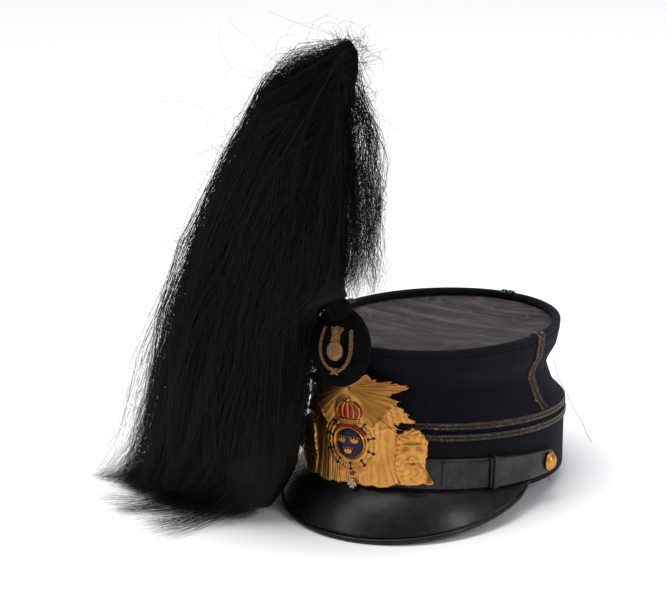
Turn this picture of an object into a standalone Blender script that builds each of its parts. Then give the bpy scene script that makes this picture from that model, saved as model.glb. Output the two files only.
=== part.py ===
# Cloth shako with a falling horsehair plume, standing on a table by itself.
# Metres, +Z up, the front of the hat towards -Y, the wearer's left towards +X.
# The hat is modelled level about the centre of its rim, then leant back until the visor's edge
# and the back of the rim stand on the table, where the plume's hair also lies.
import math

import bmesh
import bpy
import numpy as np
from mathutils import Matrix, Vector

# Clearances and walls
GAP = 0.0003
CLOTH_WALL = 0.0020
AROUND = 40

# Band, the lower wall that sits on the head
BAND_HALF_WIDTH = 0.0781
BAND_HALF_LENGTH = 0.1023
BAND_HEIGHT = 0.0395
BAND_TAPER = 0.0020

# Crown, the upper wall that draws in to a waist and flares to the top
TOP_HALF_WIDTH = 0.0716
TOP_HALF_LENGTH = 0.0990
TOP_SHIFT = -0.0078
TOP_HEIGHT = 0.0945
TOP_SLOPE = 0.05
WAIST_FRONT = 0.0040
WAIST_SIDE = 0.0092
WAIST_BACK = 0.0140
WELT_WIDTH = 0.0050
WELT_HEIGHT = 0.0048
DISC_WALL = 0.0016
DISC_SAG = 0.0030

# Metal braid sewn on the cloth
BRAID_WIDTH = 0.0042
BRAID_WALL = 0.0011
BRAID_PITCH = 0.0054
LOWER_BRAID_HEIGHT = 0.0361
UPPER_BRAID_HEIGHT = 0.0432

# Visor and its bound edge
VISOR_DEPTH = 0.0324
VISOR_SLOPE = math.radians(55.5)
VISOR_SPAN = math.radians(80)
VISOR_FULLNESS = 0.92
VISOR_END = 0.0038
VISOR_TOP = 0.0031
VISOR_WALL = 0.0024
VISOR_BULGE = 0.0016
EDGE_RADIUS = 0.0016

# Chin strap, its outer wings, slides and buttons
STRAP_HEIGHT = 0.0143
STRAP_DROP = 0.0014
STRAP_HALF_WIDTH = 0.0092
STRAP_END_HALF_WIDTH = 0.0070
STRAP_WALL = 0.0016
STRAP_SPAN = math.radians(94)
WING_START = math.radians(57)
SLIDE_START = math.radians(58.5)
SLIDE_SPAN = math.radians(1.8)
SLIDE_WALL = 0.0009
BUTTON_ANGLE = math.radians(89)
BUTTON_RADIUS = 0.0060
BUTTON_HEIGHT = 0.0046

# Front plate, cast in relief, with its enamels
PLATE_HALF_WIDTH = 0.0520
PLATE_CENTRE_HEIGHT = 0.0330
PLATE_SHIFT = -0.0030
PLATE_ROLL = math.radians(4.5)
PLATE_STANDOFF = 0.0025
PLATE_LEAN = 0.12
PLATE_WALL = 0.0010
PLATE_RELIEF = 0.0010
MASK_RELIEF = 0.0040
MASK_RADIUS = 0.0115
MASK_SHARE = 0.72
MASK_HEIGHT = -0.0030
FLAT_MARGIN = 0.0048
MEDALLION_HEIGHT = 0.0298
MEDALLION_RADIUS = 0.0104
MEDALLION_RIM = 0.0018
MEDALLION_RISE = 0.0024
ENAMEL_RISE = 0.0012
SMALL_CROWN_WIDTH = 0.0052
SMALL_CROWN_RISE = 0.0007
CROWN_HEIGHT = 0.0490
CROWN_WIDTH = 0.0160
CROWN_RISE = 0.0016
PIN_COUNT = 9
PIN_START = 0.0118
PIN_LENGTH = 0.0050
PIN_RADIUS = 0.0007
CROSS_SPAN = 0.0062
CROSS_HEIGHT = 0.0045
CROSS_RISE = 0.0008

# Plume socket and the embroidered boss in front of it
SOCKET_RADIUS = 0.0080
SOCKET_BORE = 0.0049
SOCKET_FOOT = 0.0770
SOCKET_LENGTH = 0.0160
SOCKET_FLOOR = 0.0020
BOSS_HALF_WIDTH = 0.0198
BOSS_HALF_HEIGHT = 0.0235
BOSS_HEIGHT = 0.0912
BOSS_SHIFT = -0.0030
BOSS_EDGE = 0.0045
BOSS_DEPTH = 0.0155
WREATH_SHARE = 0.62
WREATH_RADIUS = 0.0013
GRENADE_RADIUS = 0.0046
FLAME_HEIGHT = 0.0100
EMBROIDERY_RISE = 0.0010

# Plume, measured from the table
PLUME_HEIGHT = 0.3030
PLUME_REACH = 0.1850
PLUME_Y = -0.1150
PLUME_HALF_DEPTH = 0.0340
PLUME_TAIL = 0.0300
TAIL_START = 0.84
LOCK_RADIUS = 0.0095
LOCK_TIP = 0.0018
LOCK_SIDES = 6
STEM_SHARE = 0.95
STEM_RADIUS = 0.0045
STEM_TOP_RADIUS = 0.0060
LOCK_FLAT = 0.62
BODY_SHARE = 0.468
FRINGE_REACH = 0.0160
FRINGE_FOOT = 0.1530

# The crown's outline from the seam up: share of its height, share of the waist's depth
CROWN_SECTIONS = (
    {"height": 0.00, "waist": 0.00},
    {"height": 0.13, "waist": 0.05},
    {"height": 0.20, "waist": 0.44},
    {"height": 0.28, "waist": 0.66},
    {"height": 0.40, "waist": 0.84},
    {"height": 0.54, "waist": 1.00},
    {"height": 0.66, "waist": 0.74},
    {"height": 0.80, "waist": 0.27},
    {"height": 1.00, "waist": 0.00},
)

# The welt's outline over the top of the wall: shares of its width inwards and of its height
WELT_SECTION = (
    {"inward": 0.00, "up": 0.00},
    {"inward": 0.00, "up": 0.66},
    {"inward": 0.22, "up": 1.00},
    {"inward": 0.66, "up": 0.94},
    {"inward": 1.00, "up": 0.50},
    {"inward": 1.00, "up": 0.00},
)

# The button's outline from its back to its dome: shares of its radius and of its height
BUTTON_SECTION = (
    {"radius": 0.86, "height": 0.00},
    {"radius": 1.00, "height": 0.16},
    {"radius": 1.00, "height": 0.34},
    {"radius": 0.86, "height": 0.56},
    {"radius": 0.62, "height": 0.82},
    {"radius": 0.32, "height": 0.96},
)

# Half of the plate's outline round its centre, from straight down to straight up:
# degrees from level, and the radius as a share of the plate's half width
PLATE_OUTLINE = (
    {"turn": -90, "radius": 0.61},
    {"turn": -78, "radius": 0.60},
    {"turn": -66, "radius": 0.64},
    {"turn": -54, "radius": 0.72},
    {"turn": -44, "radius": 0.83},
    {"turn": -36, "radius": 0.95},
    {"turn": -30, "radius": 1.00},
    {"turn": -26, "radius": 1.09},
    {"turn": -22, "radius": 0.97},
    {"turn": -14, "radius": 0.92},
    {"turn": -6, "radius": 0.92},
    {"turn": 2, "radius": 0.91},
    {"turn": 9, "radius": 0.84},
    {"turn": 14, "radius": 0.73},
    {"turn": 16, "radius": 0.57},
    {"turn": 18, "radius": 0.81},
    {"turn": 22, "radius": 0.72},
    {"turn": 26, "radius": 0.77},
    {"turn": 30, "radius": 0.70},
    {"turn": 35, "radius": 0.75},
    {"turn": 39, "radius": 0.70},
    {"turn": 42, "radius": 0.71},
    {"turn": 44, "radius": 0.95},
    {"turn": 49, "radius": 0.87},
    {"turn": 56, "radius": 0.82},
    {"turn": 64, "radius": 0.77},
    {"turn": 73, "radius": 0.78},
    {"turn": 82, "radius": 0.77},
    {"turn": 90, "radius": 0.79},
)

# Where the plate's relief is read, as shares of the way from the centre to the outline
PLATE_RINGS = (0.30, 0.52, 0.66, 0.80, 0.92, 1.00)

# Locks of the plume: root is a share of the plume's height, near the share of the reach that the
# lock takes as it falls, bend how soon it takes it, floor the share of the reach at the table.
# Depth is a share of the half depth, girth of the lock's radius, and tail of the tail's length,
# which sweeps over the table by so many degrees from straight out towards the front.
LOCK_COLUMNS = ("root", "near", "bend", "floor", "depth", "girth", "tail", "sweep")
LOCK_TABLE = (
    (0.975, 0.88, 0.62, 0.89, -0.1, 0.85, 0.6, 15),
    (0.945, 0.82, 0.62, 0.85, -0.7, 1.00, 0.5, 25),
    (0.925, 0.79, 0.62, 0.82, 0.5, 1.00, 0.4, 0),
    (0.890, 0.73, 0.60, 0.79, -1.2, 1.00, 0.4, 40),
    (0.855, 0.64, 0.58, 0.74, 0.9, 1.00, 0.4, 0),
    (0.820, 0.58, 0.58, 0.70, -0.8, 1.10, 0.8, 45),
    (0.785, 0.52, 0.56, 0.67, -1.3, 1.10, 0.5, 50),
    (0.745, 0.44, 0.54, 0.62, 1.0, 1.00, 0.4, 0),
    (0.715, 0.39, 0.52, 0.59, -1.0, 1.05, 1.0, 55),
    (0.685, 0.32, 0.48, 0.52, -1.2, 0.95, 1.0, 60),
    (0.655, 0.28, 0.44, 0.50, 0.5, 0.85, 0.4, 10),
    (0.630, 0.24, 0.34, 0.41, -0.5, 0.75, 1.4, 60),
    (0.610, 0.22, 0.30, 0.35, -0.2, 0.65, 1.9, 62),
)
LOCKS = tuple(dict(zip(LOCK_COLUMNS, row)) for row in LOCK_TABLE)

# Short locks that fall behind the stem, in shares of the fringe's reach and foot
FRINGE = (
    {"root": 0.965, "reach": 1.00, "depth": 0.35, "foot": 1.00},
    {"root": 0.930, "reach": 0.80, "depth": -0.25, "foot": 1.04},
    {"root": 0.880, "reach": 0.90, "depth": 0.75, "foot": 1.02},
)

# The hair's body between the locks, from the top down: share of the plume's height
# (BODY_SHARE lies level with the boss's top),
# left and right edges as shares of its reach, half depth as a share of its greatest,
# and how far its middle stands forward as a share of its greatest half depth
MANE_SECTIONS = (
    {"height": 1.000, "left": 0.010, "right": -0.012, "depth": 0.07, "fore": 0.00},
    {"height": 0.982, "left": 0.060, "right": -0.038, "depth": 0.18, "fore": 0.00},
    {"height": 0.945, "left": 0.175, "right": -0.070, "depth": 0.32, "fore": 0.00},
    {"height": 0.880, "left": 0.280, "right": -0.095, "depth": 0.42, "fore": 0.00},
    {"height": 0.790, "left": 0.385, "right": -0.095, "depth": 0.52, "fore": 0.00},
    {"height": 0.670, "left": 0.492, "right": -0.085, "depth": 0.60, "fore": 0.00},
    {"height": 0.500, "left": 0.622, "right": -0.055, "depth": 0.66, "fore": 0.00},
    {"height": 0.468, "left": 0.640, "right": 0.148, "depth": 0.70, "fore": 0.00},
    {"height": 0.420, "left": 0.680, "right": 0.165, "depth": 0.76, "fore": 0.00},
    {"height": 0.240, "left": 0.775, "right": 0.170, "depth": 0.90, "fore": 0.05},
    {"height": 0.120, "left": 0.830, "right": 0.180, "depth": 1.00, "fore": 0.20},
    {"height": 0.020, "left": 0.855, "right": 0.265, "depth": 0.98, "fore": 0.25},
)


def clear_scene():
    for obj in list(bpy.data.objects):
        bpy.data.objects.remove(obj, do_unlink=True)


def make_material(name, colour, roughness, metallic=0.0):
    material = bpy.data.materials.new(name)
    material.use_nodes = True
    shader = material.node_tree.nodes["Principled BSDF"]
    shader.inputs["Base Color"].default_value = (*colour, 1.0)
    shader.inputs["Roughness"].default_value = roughness
    shader.inputs["Metallic"].default_value = metallic
    return material


def make_materials():
    return {
        "wool": make_material("midnight_wool", (0.012, 0.012, 0.022), 0.95),
        "top_leather": make_material("worn_top_leather", (0.085, 0.075, 0.080), 0.60),
        "braid": make_material("tarnished_braid", (0.110, 0.085, 0.055), 0.55, 0.6),
        "patent": make_material("black_patent_leather", (0.012, 0.012, 0.013), 0.22),
        "strap": make_material("black_strap_leather", (0.018, 0.018, 0.019), 0.35),
        "gilt": make_material("gilt_brass", (0.72, 0.44, 0.13), 0.30, 1.0),
        "blue": make_material("blue_enamel", (0.012, 0.014, 0.120), 0.12),
        "red": make_material("red_enamel", (0.450, 0.020, 0.015), 0.20),
        "white": make_material("white_enamel", (0.750, 0.720, 0.640), 0.25),
        "velvet": make_material("black_velvet", (0.006, 0.006, 0.006), 0.90),
        "gold_thread": make_material("gold_thread", (0.420, 0.240, 0.080), 0.45, 0.7),
        "horsehair": make_material("black_horsehair", (0.008, 0.008, 0.008), 0.45),
        "steel": make_material("blackened_steel", (0.050, 0.050, 0.050), 0.50, 0.8),
    }


def finish_object(name, bm, material, parent, smooth_angle=40):
    bmesh.ops.recalc_face_normals(bm, faces=bm.faces[:])
    mesh = bpy.data.meshes.new(name)
    bm.to_mesh(mesh)
    bm.free()
    mesh.shade_smooth()
    mesh.set_sharp_from_angle(angle=math.radians(smooth_angle))
    mesh.materials.append(material)
    obj = bpy.data.objects.new(name, mesh)
    bpy.context.scene.collection.objects.link(obj)
    obj.parent = parent
    return obj


def bridge_rows(bm, rows, closed_rows=True):
    """Faces between one row of vertices and the next; each row is a loop unless closed_rows is off."""
    for lower, upper in zip(rows, rows[1:]):
        count = len(lower)
        for i in range(count if closed_rows else count - 1):
            j = (i + 1) % count
            bm.faces.new((lower[i], lower[j], upper[j], upper[i]))


def cap_with_fan(bm, row, centre):
    hub = bm.verts.new(centre)
    for i, vertex in enumerate(row):
        bm.faces.new((vertex, row[(i + 1) % len(row)], hub))


def tube(name, rows, material, parent, closed):
    """A solid swept through rows of section points. Closed joins the last row to the first."""
    bm = bmesh.new()
    verts = [[bm.verts.new(point) for point in row] for row in rows]
    bridge_rows(bm, verts + verts[:1] if closed else verts)
    if not closed:
        bm.faces.new(verts[0])
        bm.faces.new(verts[-1])
    return finish_object(name, bm, material, parent)


def dome(name, rows, back_centre, front_centre, material, parent):
    """A solid of loops from a back face to a front face, each closed by a fan."""
    bm = bmesh.new()
    verts = [[bm.verts.new(point) for point in row] for row in rows]
    bridge_rows(bm, verts)
    cap_with_fan(bm, verts[0], back_centre)
    cap_with_fan(bm, verts[-1], front_centre)
    return finish_object(name, bm, material, parent)


def lerp(a, b, share):
    return a + (b - a) * share


def full_turn(count=AROUND):
    return [2 * math.pi * i / count for i in range(count)]


def spread(start, end, count):
    return [lerp(start, end, i / (count - 1)) for i in range(count)]


def oval_point(half_width, half_length, angle, y_centre=0.0):
    """The angle is 0 at the front and grows towards the wearer's left."""
    return np.array([half_width * math.sin(angle), y_centre - half_length * math.cos(angle)])


def oval_normal(half_width, half_length, angle):
    normal = np.array([math.sin(angle) / half_width, -math.cos(angle) / half_length])
    return normal / np.linalg.norm(normal)


def band_point(angle, outward, height):
    xy = oval_point(BAND_HALF_WIDTH, BAND_HALF_LENGTH, angle)
    inset = BAND_TAPER * height / BAND_HEIGHT
    xy = xy + (outward - inset) * oval_normal(BAND_HALF_WIDTH, BAND_HALF_LENGTH, angle)
    return Vector((xy[0], xy[1], height))


def wall_top(angle):
    y = TOP_SHIFT - TOP_HALF_LENGTH * math.cos(angle)
    return TOP_HEIGHT + TOP_SLOPE * y - WELT_HEIGHT


def waist_depth(angle):
    facing = math.cos(angle)
    front = (WAIST_FRONT - WAIST_SIDE) * max(facing, 0) ** 2
    back = (WAIST_BACK - WAIST_SIDE) * max(-facing, 0) ** 2
    return WAIST_SIDE + front + back


def crown_point(angle, share, outward=0.0):
    """A point of the crown's outer face, the share running from the seam to the wall's top."""
    heights = [row["height"] for row in CROWN_SECTIONS]
    waists = [row["waist"] for row in CROWN_SECTIONS]
    inset = waist_depth(angle) * float(np.interp(share, heights, waists)) + BAND_TAPER * (1 - share)
    half_width = lerp(BAND_HALF_WIDTH, TOP_HALF_WIDTH, share)
    half_length = lerp(BAND_HALF_LENGTH, TOP_HALF_LENGTH, share)
    xy = oval_point(half_width, half_length, angle, TOP_SHIFT * share)
    xy = xy + (outward - inset) * oval_normal(half_width, half_length, angle)
    foot = BAND_HEIGHT + GAP
    return Vector((xy[0], xy[1], lerp(foot, wall_top(angle), share)))


def crown_share(angle, height):
    foot = BAND_HEIGHT + GAP
    return (height - foot) / (wall_top(angle) - foot)


def welt_point(angle, inward, up):
    edge = crown_point(angle, 1.0, -inward)
    return Vector((edge.x, edge.y, wall_top(angle) + GAP + up))


def make_band(materials, parent):
    rows = (
        (0.0, 0.0),
        (0.0, BAND_HEIGHT),
        (-CLOTH_WALL, BAND_HEIGHT),
        (-CLOTH_WALL, 0.0),
    )
    sections = [[band_point(angle, out, up) for out, up in rows] for angle in full_turn()]
    return tube("band", sections, materials["wool"], parent, closed=True)


def make_crown(materials, parent):
    sections = []
    for angle in full_turn():
        shares = [row["height"] for row in CROWN_SECTIONS]
        outer = [crown_point(angle, share) for share in shares]
        inner = [crown_point(angle, share, -CLOTH_WALL) for share in reversed(shares)]
        sections.append(outer + inner)
    return tube("crown_side", sections, materials["wool"], parent, closed=True)


def make_welt(materials, parent):
    sections = [
        [welt_point(angle, row["inward"] * WELT_WIDTH, row["up"] * WELT_HEIGHT) for row in WELT_SECTION]
        for angle in full_turn()
    ]
    return tube("top_welt", sections, materials["wool"], parent, closed=True)


def make_disc(materials, parent):
    """The sunken top, sagging a little towards its middle."""
    shares = (1.0, 0.62)
    inset = CLOTH_WALL + GAP
    middle = Vector((0.0, TOP_SHIFT, TOP_HEIGHT + TOP_SLOPE * TOP_SHIFT - WELT_HEIGHT - DISC_SAG))

    def loop(share, drop):
        points = []
        for angle in full_turn():
            edge = crown_point(angle, crown_share(angle, wall_top(angle) - drop), -inset)
            point = middle.lerp(edge, share)
            point.z = lerp(middle.z - drop, edge.z, share**2)
            points.append(point)
        return points

    rows = [loop(share, DISC_WALL) for share in reversed(shares)]
    rows += [loop(share, 0.0) for share in shares]
    under = middle - Vector((0, 0, DISC_WALL))
    return dome("top_disc", rows, under, middle, materials["top_leather"], parent)


def make_ring_braids(materials, parent):
    half = BRAID_WIDTH / 2
    corners = ((GAP, -half), (GAP + BRAID_WALL, -half), (GAP + BRAID_WALL, half), (GAP, half))
    lower = [
        [band_point(angle, out, LOWER_BRAID_HEIGHT + up) for out, up in corners] for angle in full_turn()
    ]
    tube("braid_lower", lower, materials["braid"], parent, closed=True)
    upper = [
        [crown_point(angle, crown_share(angle, UPPER_BRAID_HEIGHT + up), out) for out, up in corners]
        for angle in full_turn()
    ]
    tube("braid_upper", upper, materials["braid"], parent, closed=True)


def hat_face(angle):
    """Points up the outside of the crown from the upper braid, and over the welt to the top."""
    first = crown_share(angle, UPPER_BRAID_HEIGHT + BRAID_WIDTH / 2 + GAP)
    shares = [first] + [row["height"] for row in CROWN_SECTIONS if row["height"] > first + 0.02]
    points = [crown_point(angle, share) for share in shares[:-1]]
    for row in WELT_SECTION[:-1]:
        points.append(welt_point(angle, row["inward"] * WELT_WIDTH, row["up"] * WELT_HEIGHT))
    return np.array([list(point) for point in points])


def make_side_braid(name, angle, offset, materials, parent):
    """One strand of braid up the crown, its middle offset sideways from the angle."""
    side = hat_face(angle + 0.01) - hat_face(angle - 0.01)
    turn_per_metre = 0.02 / np.linalg.norm(side[0])
    faces = {
        lateral: hat_face(angle + (offset + lateral) * turn_per_metre)
        for lateral in (-BRAID_WIDTH / 2, 0.0, BRAID_WIDTH / 2)
    }
    along = np.gradient(faces[0.0], axis=0)
    across = faces[BRAID_WIDTH / 2] - faces[-BRAID_WIDTH / 2]
    normals = np.cross(across, along)
    normals /= np.linalg.norm(normals, axis=1)[:, None]
    rows = []
    for i, normal in enumerate(normals):
        left, right = faces[-BRAID_WIDTH / 2][i], faces[BRAID_WIDTH / 2][i]
        low, high = normal * GAP * 1.5, normal * (GAP * 1.5 + BRAID_WALL)
        rows.append([Vector(left + low), Vector(right + low), Vector(right + high), Vector(left + high)])
    return tube(name, rows, materials["braid"], parent, closed=False)


def make_side_braids(materials, parent):
    places = {"left": math.pi / 2, "right": -math.pi / 2, "back": math.pi}
    for place, angle in places.items():
        for strand, offset in (("a", -BRAID_PITCH / 2), ("b", BRAID_PITCH / 2)):
            make_side_braid(f"side_braid_{place}_{strand}", angle, offset, materials, parent)


def visor_reach(angle):
    fullness = max(math.cos(angle / VISOR_SPAN * math.pi / 2), 0.0) ** VISOR_FULLNESS
    return max(VISOR_DEPTH * fullness, VISOR_END)


def visor_top_face(angle, share):
    """Outward and upward place of the visor's upper face, the share running to its edge."""
    reach = visor_reach(angle)
    bulge = VISOR_BULGE * math.sin(math.pi * share) * reach / VISOR_DEPTH
    outward = GAP + reach * share * math.cos(VISOR_SLOPE) + bulge * math.sin(VISOR_SLOPE)
    up = VISOR_TOP - reach * share * math.sin(VISOR_SLOPE) + bulge * math.cos(VISOR_SLOPE)
    return outward, up


def visor_section(angle):
    shares = (0.0, 0.3, 0.62, 1.0)
    top = [visor_top_face(angle, share) for share in shares]
    drop = (VISOR_WALL * math.sin(VISOR_SLOPE), VISOR_WALL * math.cos(VISOR_SLOPE))
    under = [(out - drop[0], up - drop[1]) for out, up in reversed(top[1:])]
    root = (GAP, VISOR_TOP - VISOR_WALL / math.cos(VISOR_SLOPE))
    under = [(max(out, GAP), up) for out, up in under]
    return top + under + [root]


def visor_angles():
    return spread(-VISOR_SPAN, VISOR_SPAN, 29)


def make_visor(materials, parent):
    rows = [[band_point(a, out, up) for out, up in visor_section(a)] for a in visor_angles()]
    return tube("visor", rows, materials["patent"], parent, closed=False)


def edge_section(angle):
    """The bound edge, a bead just past the visor's rim."""
    out, up = visor_top_face(angle, 1.0)
    along = (math.cos(VISOR_SLOPE), -math.sin(VISOR_SLOPE))
    away = GAP + EDGE_RADIUS
    middle_out = out - VISOR_WALL / 2 * math.sin(VISOR_SLOPE) + away * along[0]
    middle_up = up - VISOR_WALL / 2 * math.cos(VISOR_SLOPE) + away * along[1]
    sides = 6
    points = []
    for i in range(sides):
        turn = 2 * math.pi * i / sides + math.pi / sides - VISOR_SLOPE
        points.append((middle_out + EDGE_RADIUS * math.cos(turn), middle_up + EDGE_RADIUS * math.sin(turn)))
    return points


def make_visor_edge(materials, parent):
    rows = [[band_point(a, out, up) for out, up in edge_section(a)] for a in visor_angles()]
    return tube("visor_edge", rows, materials["patent"], parent, closed=False)


def strap_middle(angle):
    return STRAP_HEIGHT - STRAP_DROP * (angle / STRAP_SPAN) ** 2


def strap_half_width(angle):
    taper = max(abs(angle) - WING_START, 0) / (STRAP_SPAN - WING_START)
    return lerp(STRAP_HALF_WIDTH, STRAP_END_HALF_WIDTH, taper)


def strap_rows(angles, inner, rounded=None):
    """Sections of a strap whose inner face stands off the band; rounded is the end that is cut round."""
    rows = []
    for angle in angles:
        half = strap_half_width(angle)
        if rounded is not None:
            from_end = abs(rounded - angle) * BAND_HALF_LENGTH
            ease = min(from_end / half, 1.0)
            half *= max(math.sqrt(1 - (1 - ease) ** 2), 0.35)
        middle = strap_middle(angle)
        corners = (
            (inner, middle - half),
            (inner + STRAP_WALL, middle - half),
            (inner + STRAP_WALL, middle + half),
            (inner, middle + half),
        )
        rows.append([band_point(angle, out, up) for out, up in corners])
    return rows


def wing_inner():
    return GAP + STRAP_WALL + GAP


def make_strap(materials, parent):
    end = STRAP_SPAN - math.radians(3)
    rows = strap_rows(spread(-end, end, 31), GAP)
    tube("chin_strap", rows, materials["strap"], parent, closed=False)
    for side, sign in (("left", 1), ("right", -1)):
        angles = spread(WING_START, STRAP_SPAN - math.radians(6), 8)
        angles += spread(STRAP_SPAN - math.radians(4), STRAP_SPAN, 4)
        angles = [sign * angle for angle in angles]
        rows = strap_rows(angles, wing_inner(), rounded=sign * STRAP_SPAN)
        tube(f"strap_wing_{side}", rows, materials["strap"], parent, closed=False)
        make_slide(side, sign, materials, parent)


def make_slide(side, sign, materials, parent):
    """A leather keeper folded round both layers of the strap."""
    rows = []
    for angle in spread(SLIDE_START, SLIDE_START + SLIDE_SPAN, 3):
        angle = sign * angle
        outer = wing_inner() + STRAP_WALL + GAP + SLIDE_WALL
        near = outer - SLIDE_WALL
        top = strap_middle(angle) + strap_half_width(angle) + GAP
        foot = strap_middle(angle) - strap_half_width(angle) - GAP
        section = (
            (GAP, top + SLIDE_WALL),
            (outer, top + SLIDE_WALL),
            (outer, foot - SLIDE_WALL),
            (GAP, foot - SLIDE_WALL),
            (GAP, foot),
            (near, foot),
            (near, top),
            (GAP, top),
        )
        rows.append([band_point(angle, out, up) for out, up in section])
    tube(f"strap_slide_{side}", rows, materials["strap"], parent, closed=False)


def make_buttons(materials, parent):
    steps = 14
    for side, sign in (("left", 1), ("right", -1)):
        angle = sign * BUTTON_ANGLE
        out = oval_normal(BAND_HALF_WIDTH, BAND_HALF_LENGTH, angle)
        normal = Vector((out[0], out[1], 0))
        across = Vector((-out[1], out[0], 0))
        seat = band_point(angle, wing_inner() + STRAP_WALL + GAP, strap_middle(angle))
        rows = []
        for row in BUTTON_SECTION:
            centre, radius = seat + normal * row["height"] * BUTTON_HEIGHT, row["radius"] * BUTTON_RADIUS
            rows.append([
                centre + (across * math.cos(turn) + Vector((0, 0, math.sin(turn)))) * radius
                for turn in full_turn(steps)
            ])
        dome(f"button_{side}", rows, seat, seat + normal * BUTTON_HEIGHT, materials["gilt"], parent)


def arc_table():
    """Angles on the band's oval and their distances from the front, measured round the plate's face."""
    angles = np.linspace(-math.pi / 2, math.pi / 2, 721)
    points = np.array([list(band_point(angle, PLATE_STANDOFF, 0)) for angle in angles])
    steps = np.linalg.norm(np.diff(points, axis=0), axis=1)
    lengths = np.concatenate([[0], np.cumsum(steps)])
    return angles, lengths - np.interp(0, angles, lengths)


ARC_ANGLES, ARC_LENGTHS = arc_table()


def plate_point(across, up, rise):
    """A point by its place on the plate's face: across and up from its centre, rise above its back."""
    turned = (
        across * math.cos(PLATE_ROLL) - up * math.sin(PLATE_ROLL) + PLATE_SHIFT,
        across * math.sin(PLATE_ROLL) + up * math.cos(PLATE_ROLL) + PLATE_CENTRE_HEIGHT,
    )
    angle = float(np.interp(turned[0], ARC_LENGTHS, ARC_ANGLES))
    outward = PLATE_STANDOFF + PLATE_LEAN * turned[1] + rise
    return band_point(angle, outward, turned[1])


def plate_outline():
    """The whole outline, right half then its mirror, as turns in radians and radii in metres."""
    right = [(math.radians(row["turn"]), row["radius"] * PLATE_HALF_WIDTH) for row in PLATE_OUTLINE]
    left = [(math.pi - turn, radius) for turn, radius in reversed(right[1:-1])]
    return right + left


def plate_relief(across, up, index):
    """Rays above, drapery folds below and a lion's mask at each side, over a flat middle."""
    from_medallion = math.hypot(across, up - MEDALLION_HEIGHT + PLATE_CENTRE_HEIGHT)
    from_crown = math.hypot(across, up - CROWN_HEIGHT + PLATE_CENTRE_HEIGHT)
    if from_medallion < PIN_START + PIN_LENGTH + FLAT_MARGIN or from_crown < CROWN_WIDTH / 2 + FLAT_MARGIN:
        return 0.0
    relief = PLATE_RELIEF if index % 2 else PLATE_RELIEF * 0.25
    mask_across = PLATE_HALF_WIDTH * MASK_SHARE
    from_mask = math.hypot((abs(across) - mask_across) / 0.9, up - MASK_HEIGHT) / MASK_RADIUS
    if from_mask < 1.0:
        relief = max(relief, MASK_RELIEF * math.sqrt(1 - from_mask**2))
    return relief


def make_plate(materials, parent):
    outline = plate_outline()
    bm = bmesh.new()

    def loop(share, raised):
        row = []
        for index, (turn, radius) in enumerate(outline):
            across, up = radius * share * math.cos(turn), radius * share * math.sin(turn)
            rise = PLATE_WALL + plate_relief(across, up, index) if raised else 0.0
            row.append(bm.verts.new(plate_point(across, up, rise)))
        return row

    rows = [loop(share, False) for share in PLATE_RINGS]
    rows += [loop(share, True) for share in reversed(PLATE_RINGS)]
    bridge_rows(bm, rows)
    cap_with_fan(bm, rows[0], plate_point(0, 0, 0.0))
    cap_with_fan(bm, rows[-1], plate_point(0, 0, PLATE_WALL))
    finish_object("sunburst_plate", bm, materials["gilt"], parent, smooth_angle=25)


def plate_slab(name, outline, foot, rise, material, parent, domed=False):
    """A piece lying on the plate. Domed gives both faces a middle point that follows the plate's curve."""
    bm = bmesh.new()
    lower = [bm.verts.new(plate_point(a, u, foot)) for a, u in outline]
    upper = [bm.verts.new(plate_point(a, u, foot + rise)) for a, u in outline]
    bridge_rows(bm, [lower, upper])
    if domed:
        middle = np.mean(outline, axis=0)
        cap_with_fan(bm, lower, plate_point(*middle, foot))
        cap_with_fan(bm, upper, plate_point(*middle, foot + rise))
    else:
        bm.faces.new(lower)
        bm.faces.new(upper)
    return finish_object(name, bm, material, parent)


def ring_on_plate(radius, count, up_centre):
    return [
        (radius * math.cos(turn), up_centre + radius * math.sin(turn)) for turn in full_turn(count)
    ]


def open_crown_outline(width, across, up):
    """A small open crown of three points on a narrow ring, as shares of its width."""
    right = [(0.40, -0.34), (0.50, 0.22), (0.22, -0.02)]
    left = [(-a, u) for a, u in reversed(right)]
    return [(across + a * width, up + u * width) for a, u in [*right, (0.0, 0.40), *left]]


def make_medallion(materials, parent):
    steps = 20
    middle = MEDALLION_HEIGHT - PLATE_CENTRE_HEIGHT
    foot = PLATE_WALL + GAP
    inner = MEDALLION_RADIUS - MEDALLION_RIM
    section = (
        (MEDALLION_RADIUS, 0.0),
        (MEDALLION_RADIUS, 0.5),
        (lerp(inner, MEDALLION_RADIUS, 0.5), 1.0),
        (inner, 0.5),
        (inner, 0.0),
    )
    rows = []
    for turn in full_turn(steps):
        rows.append([
            plate_point(r * math.cos(turn), middle + r * math.sin(turn), foot + h * MEDALLION_RISE)
            for r, h in section
        ])
    tube("medallion_rim", rows, materials["gilt"], parent, closed=True)
    disc = ring_on_plate(inner - GAP, steps, middle)
    plate_slab("medallion_enamel", disc, foot, ENAMEL_RISE, materials["blue"], parent, domed=True)
    seat = foot + ENAMEL_RISE + GAP
    places = ((-0.48, 0.26), (0.48, 0.26), (0.0, -0.46))
    for number, (across, up) in enumerate(places, 1):
        outline = open_crown_outline(SMALL_CROWN_WIDTH, across * inner, middle + up * inner)
        name = f"medallion_crown_{number}"
        plate_slab(name, outline, seat, SMALL_CROWN_RISE, materials["gilt"], parent)


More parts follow.
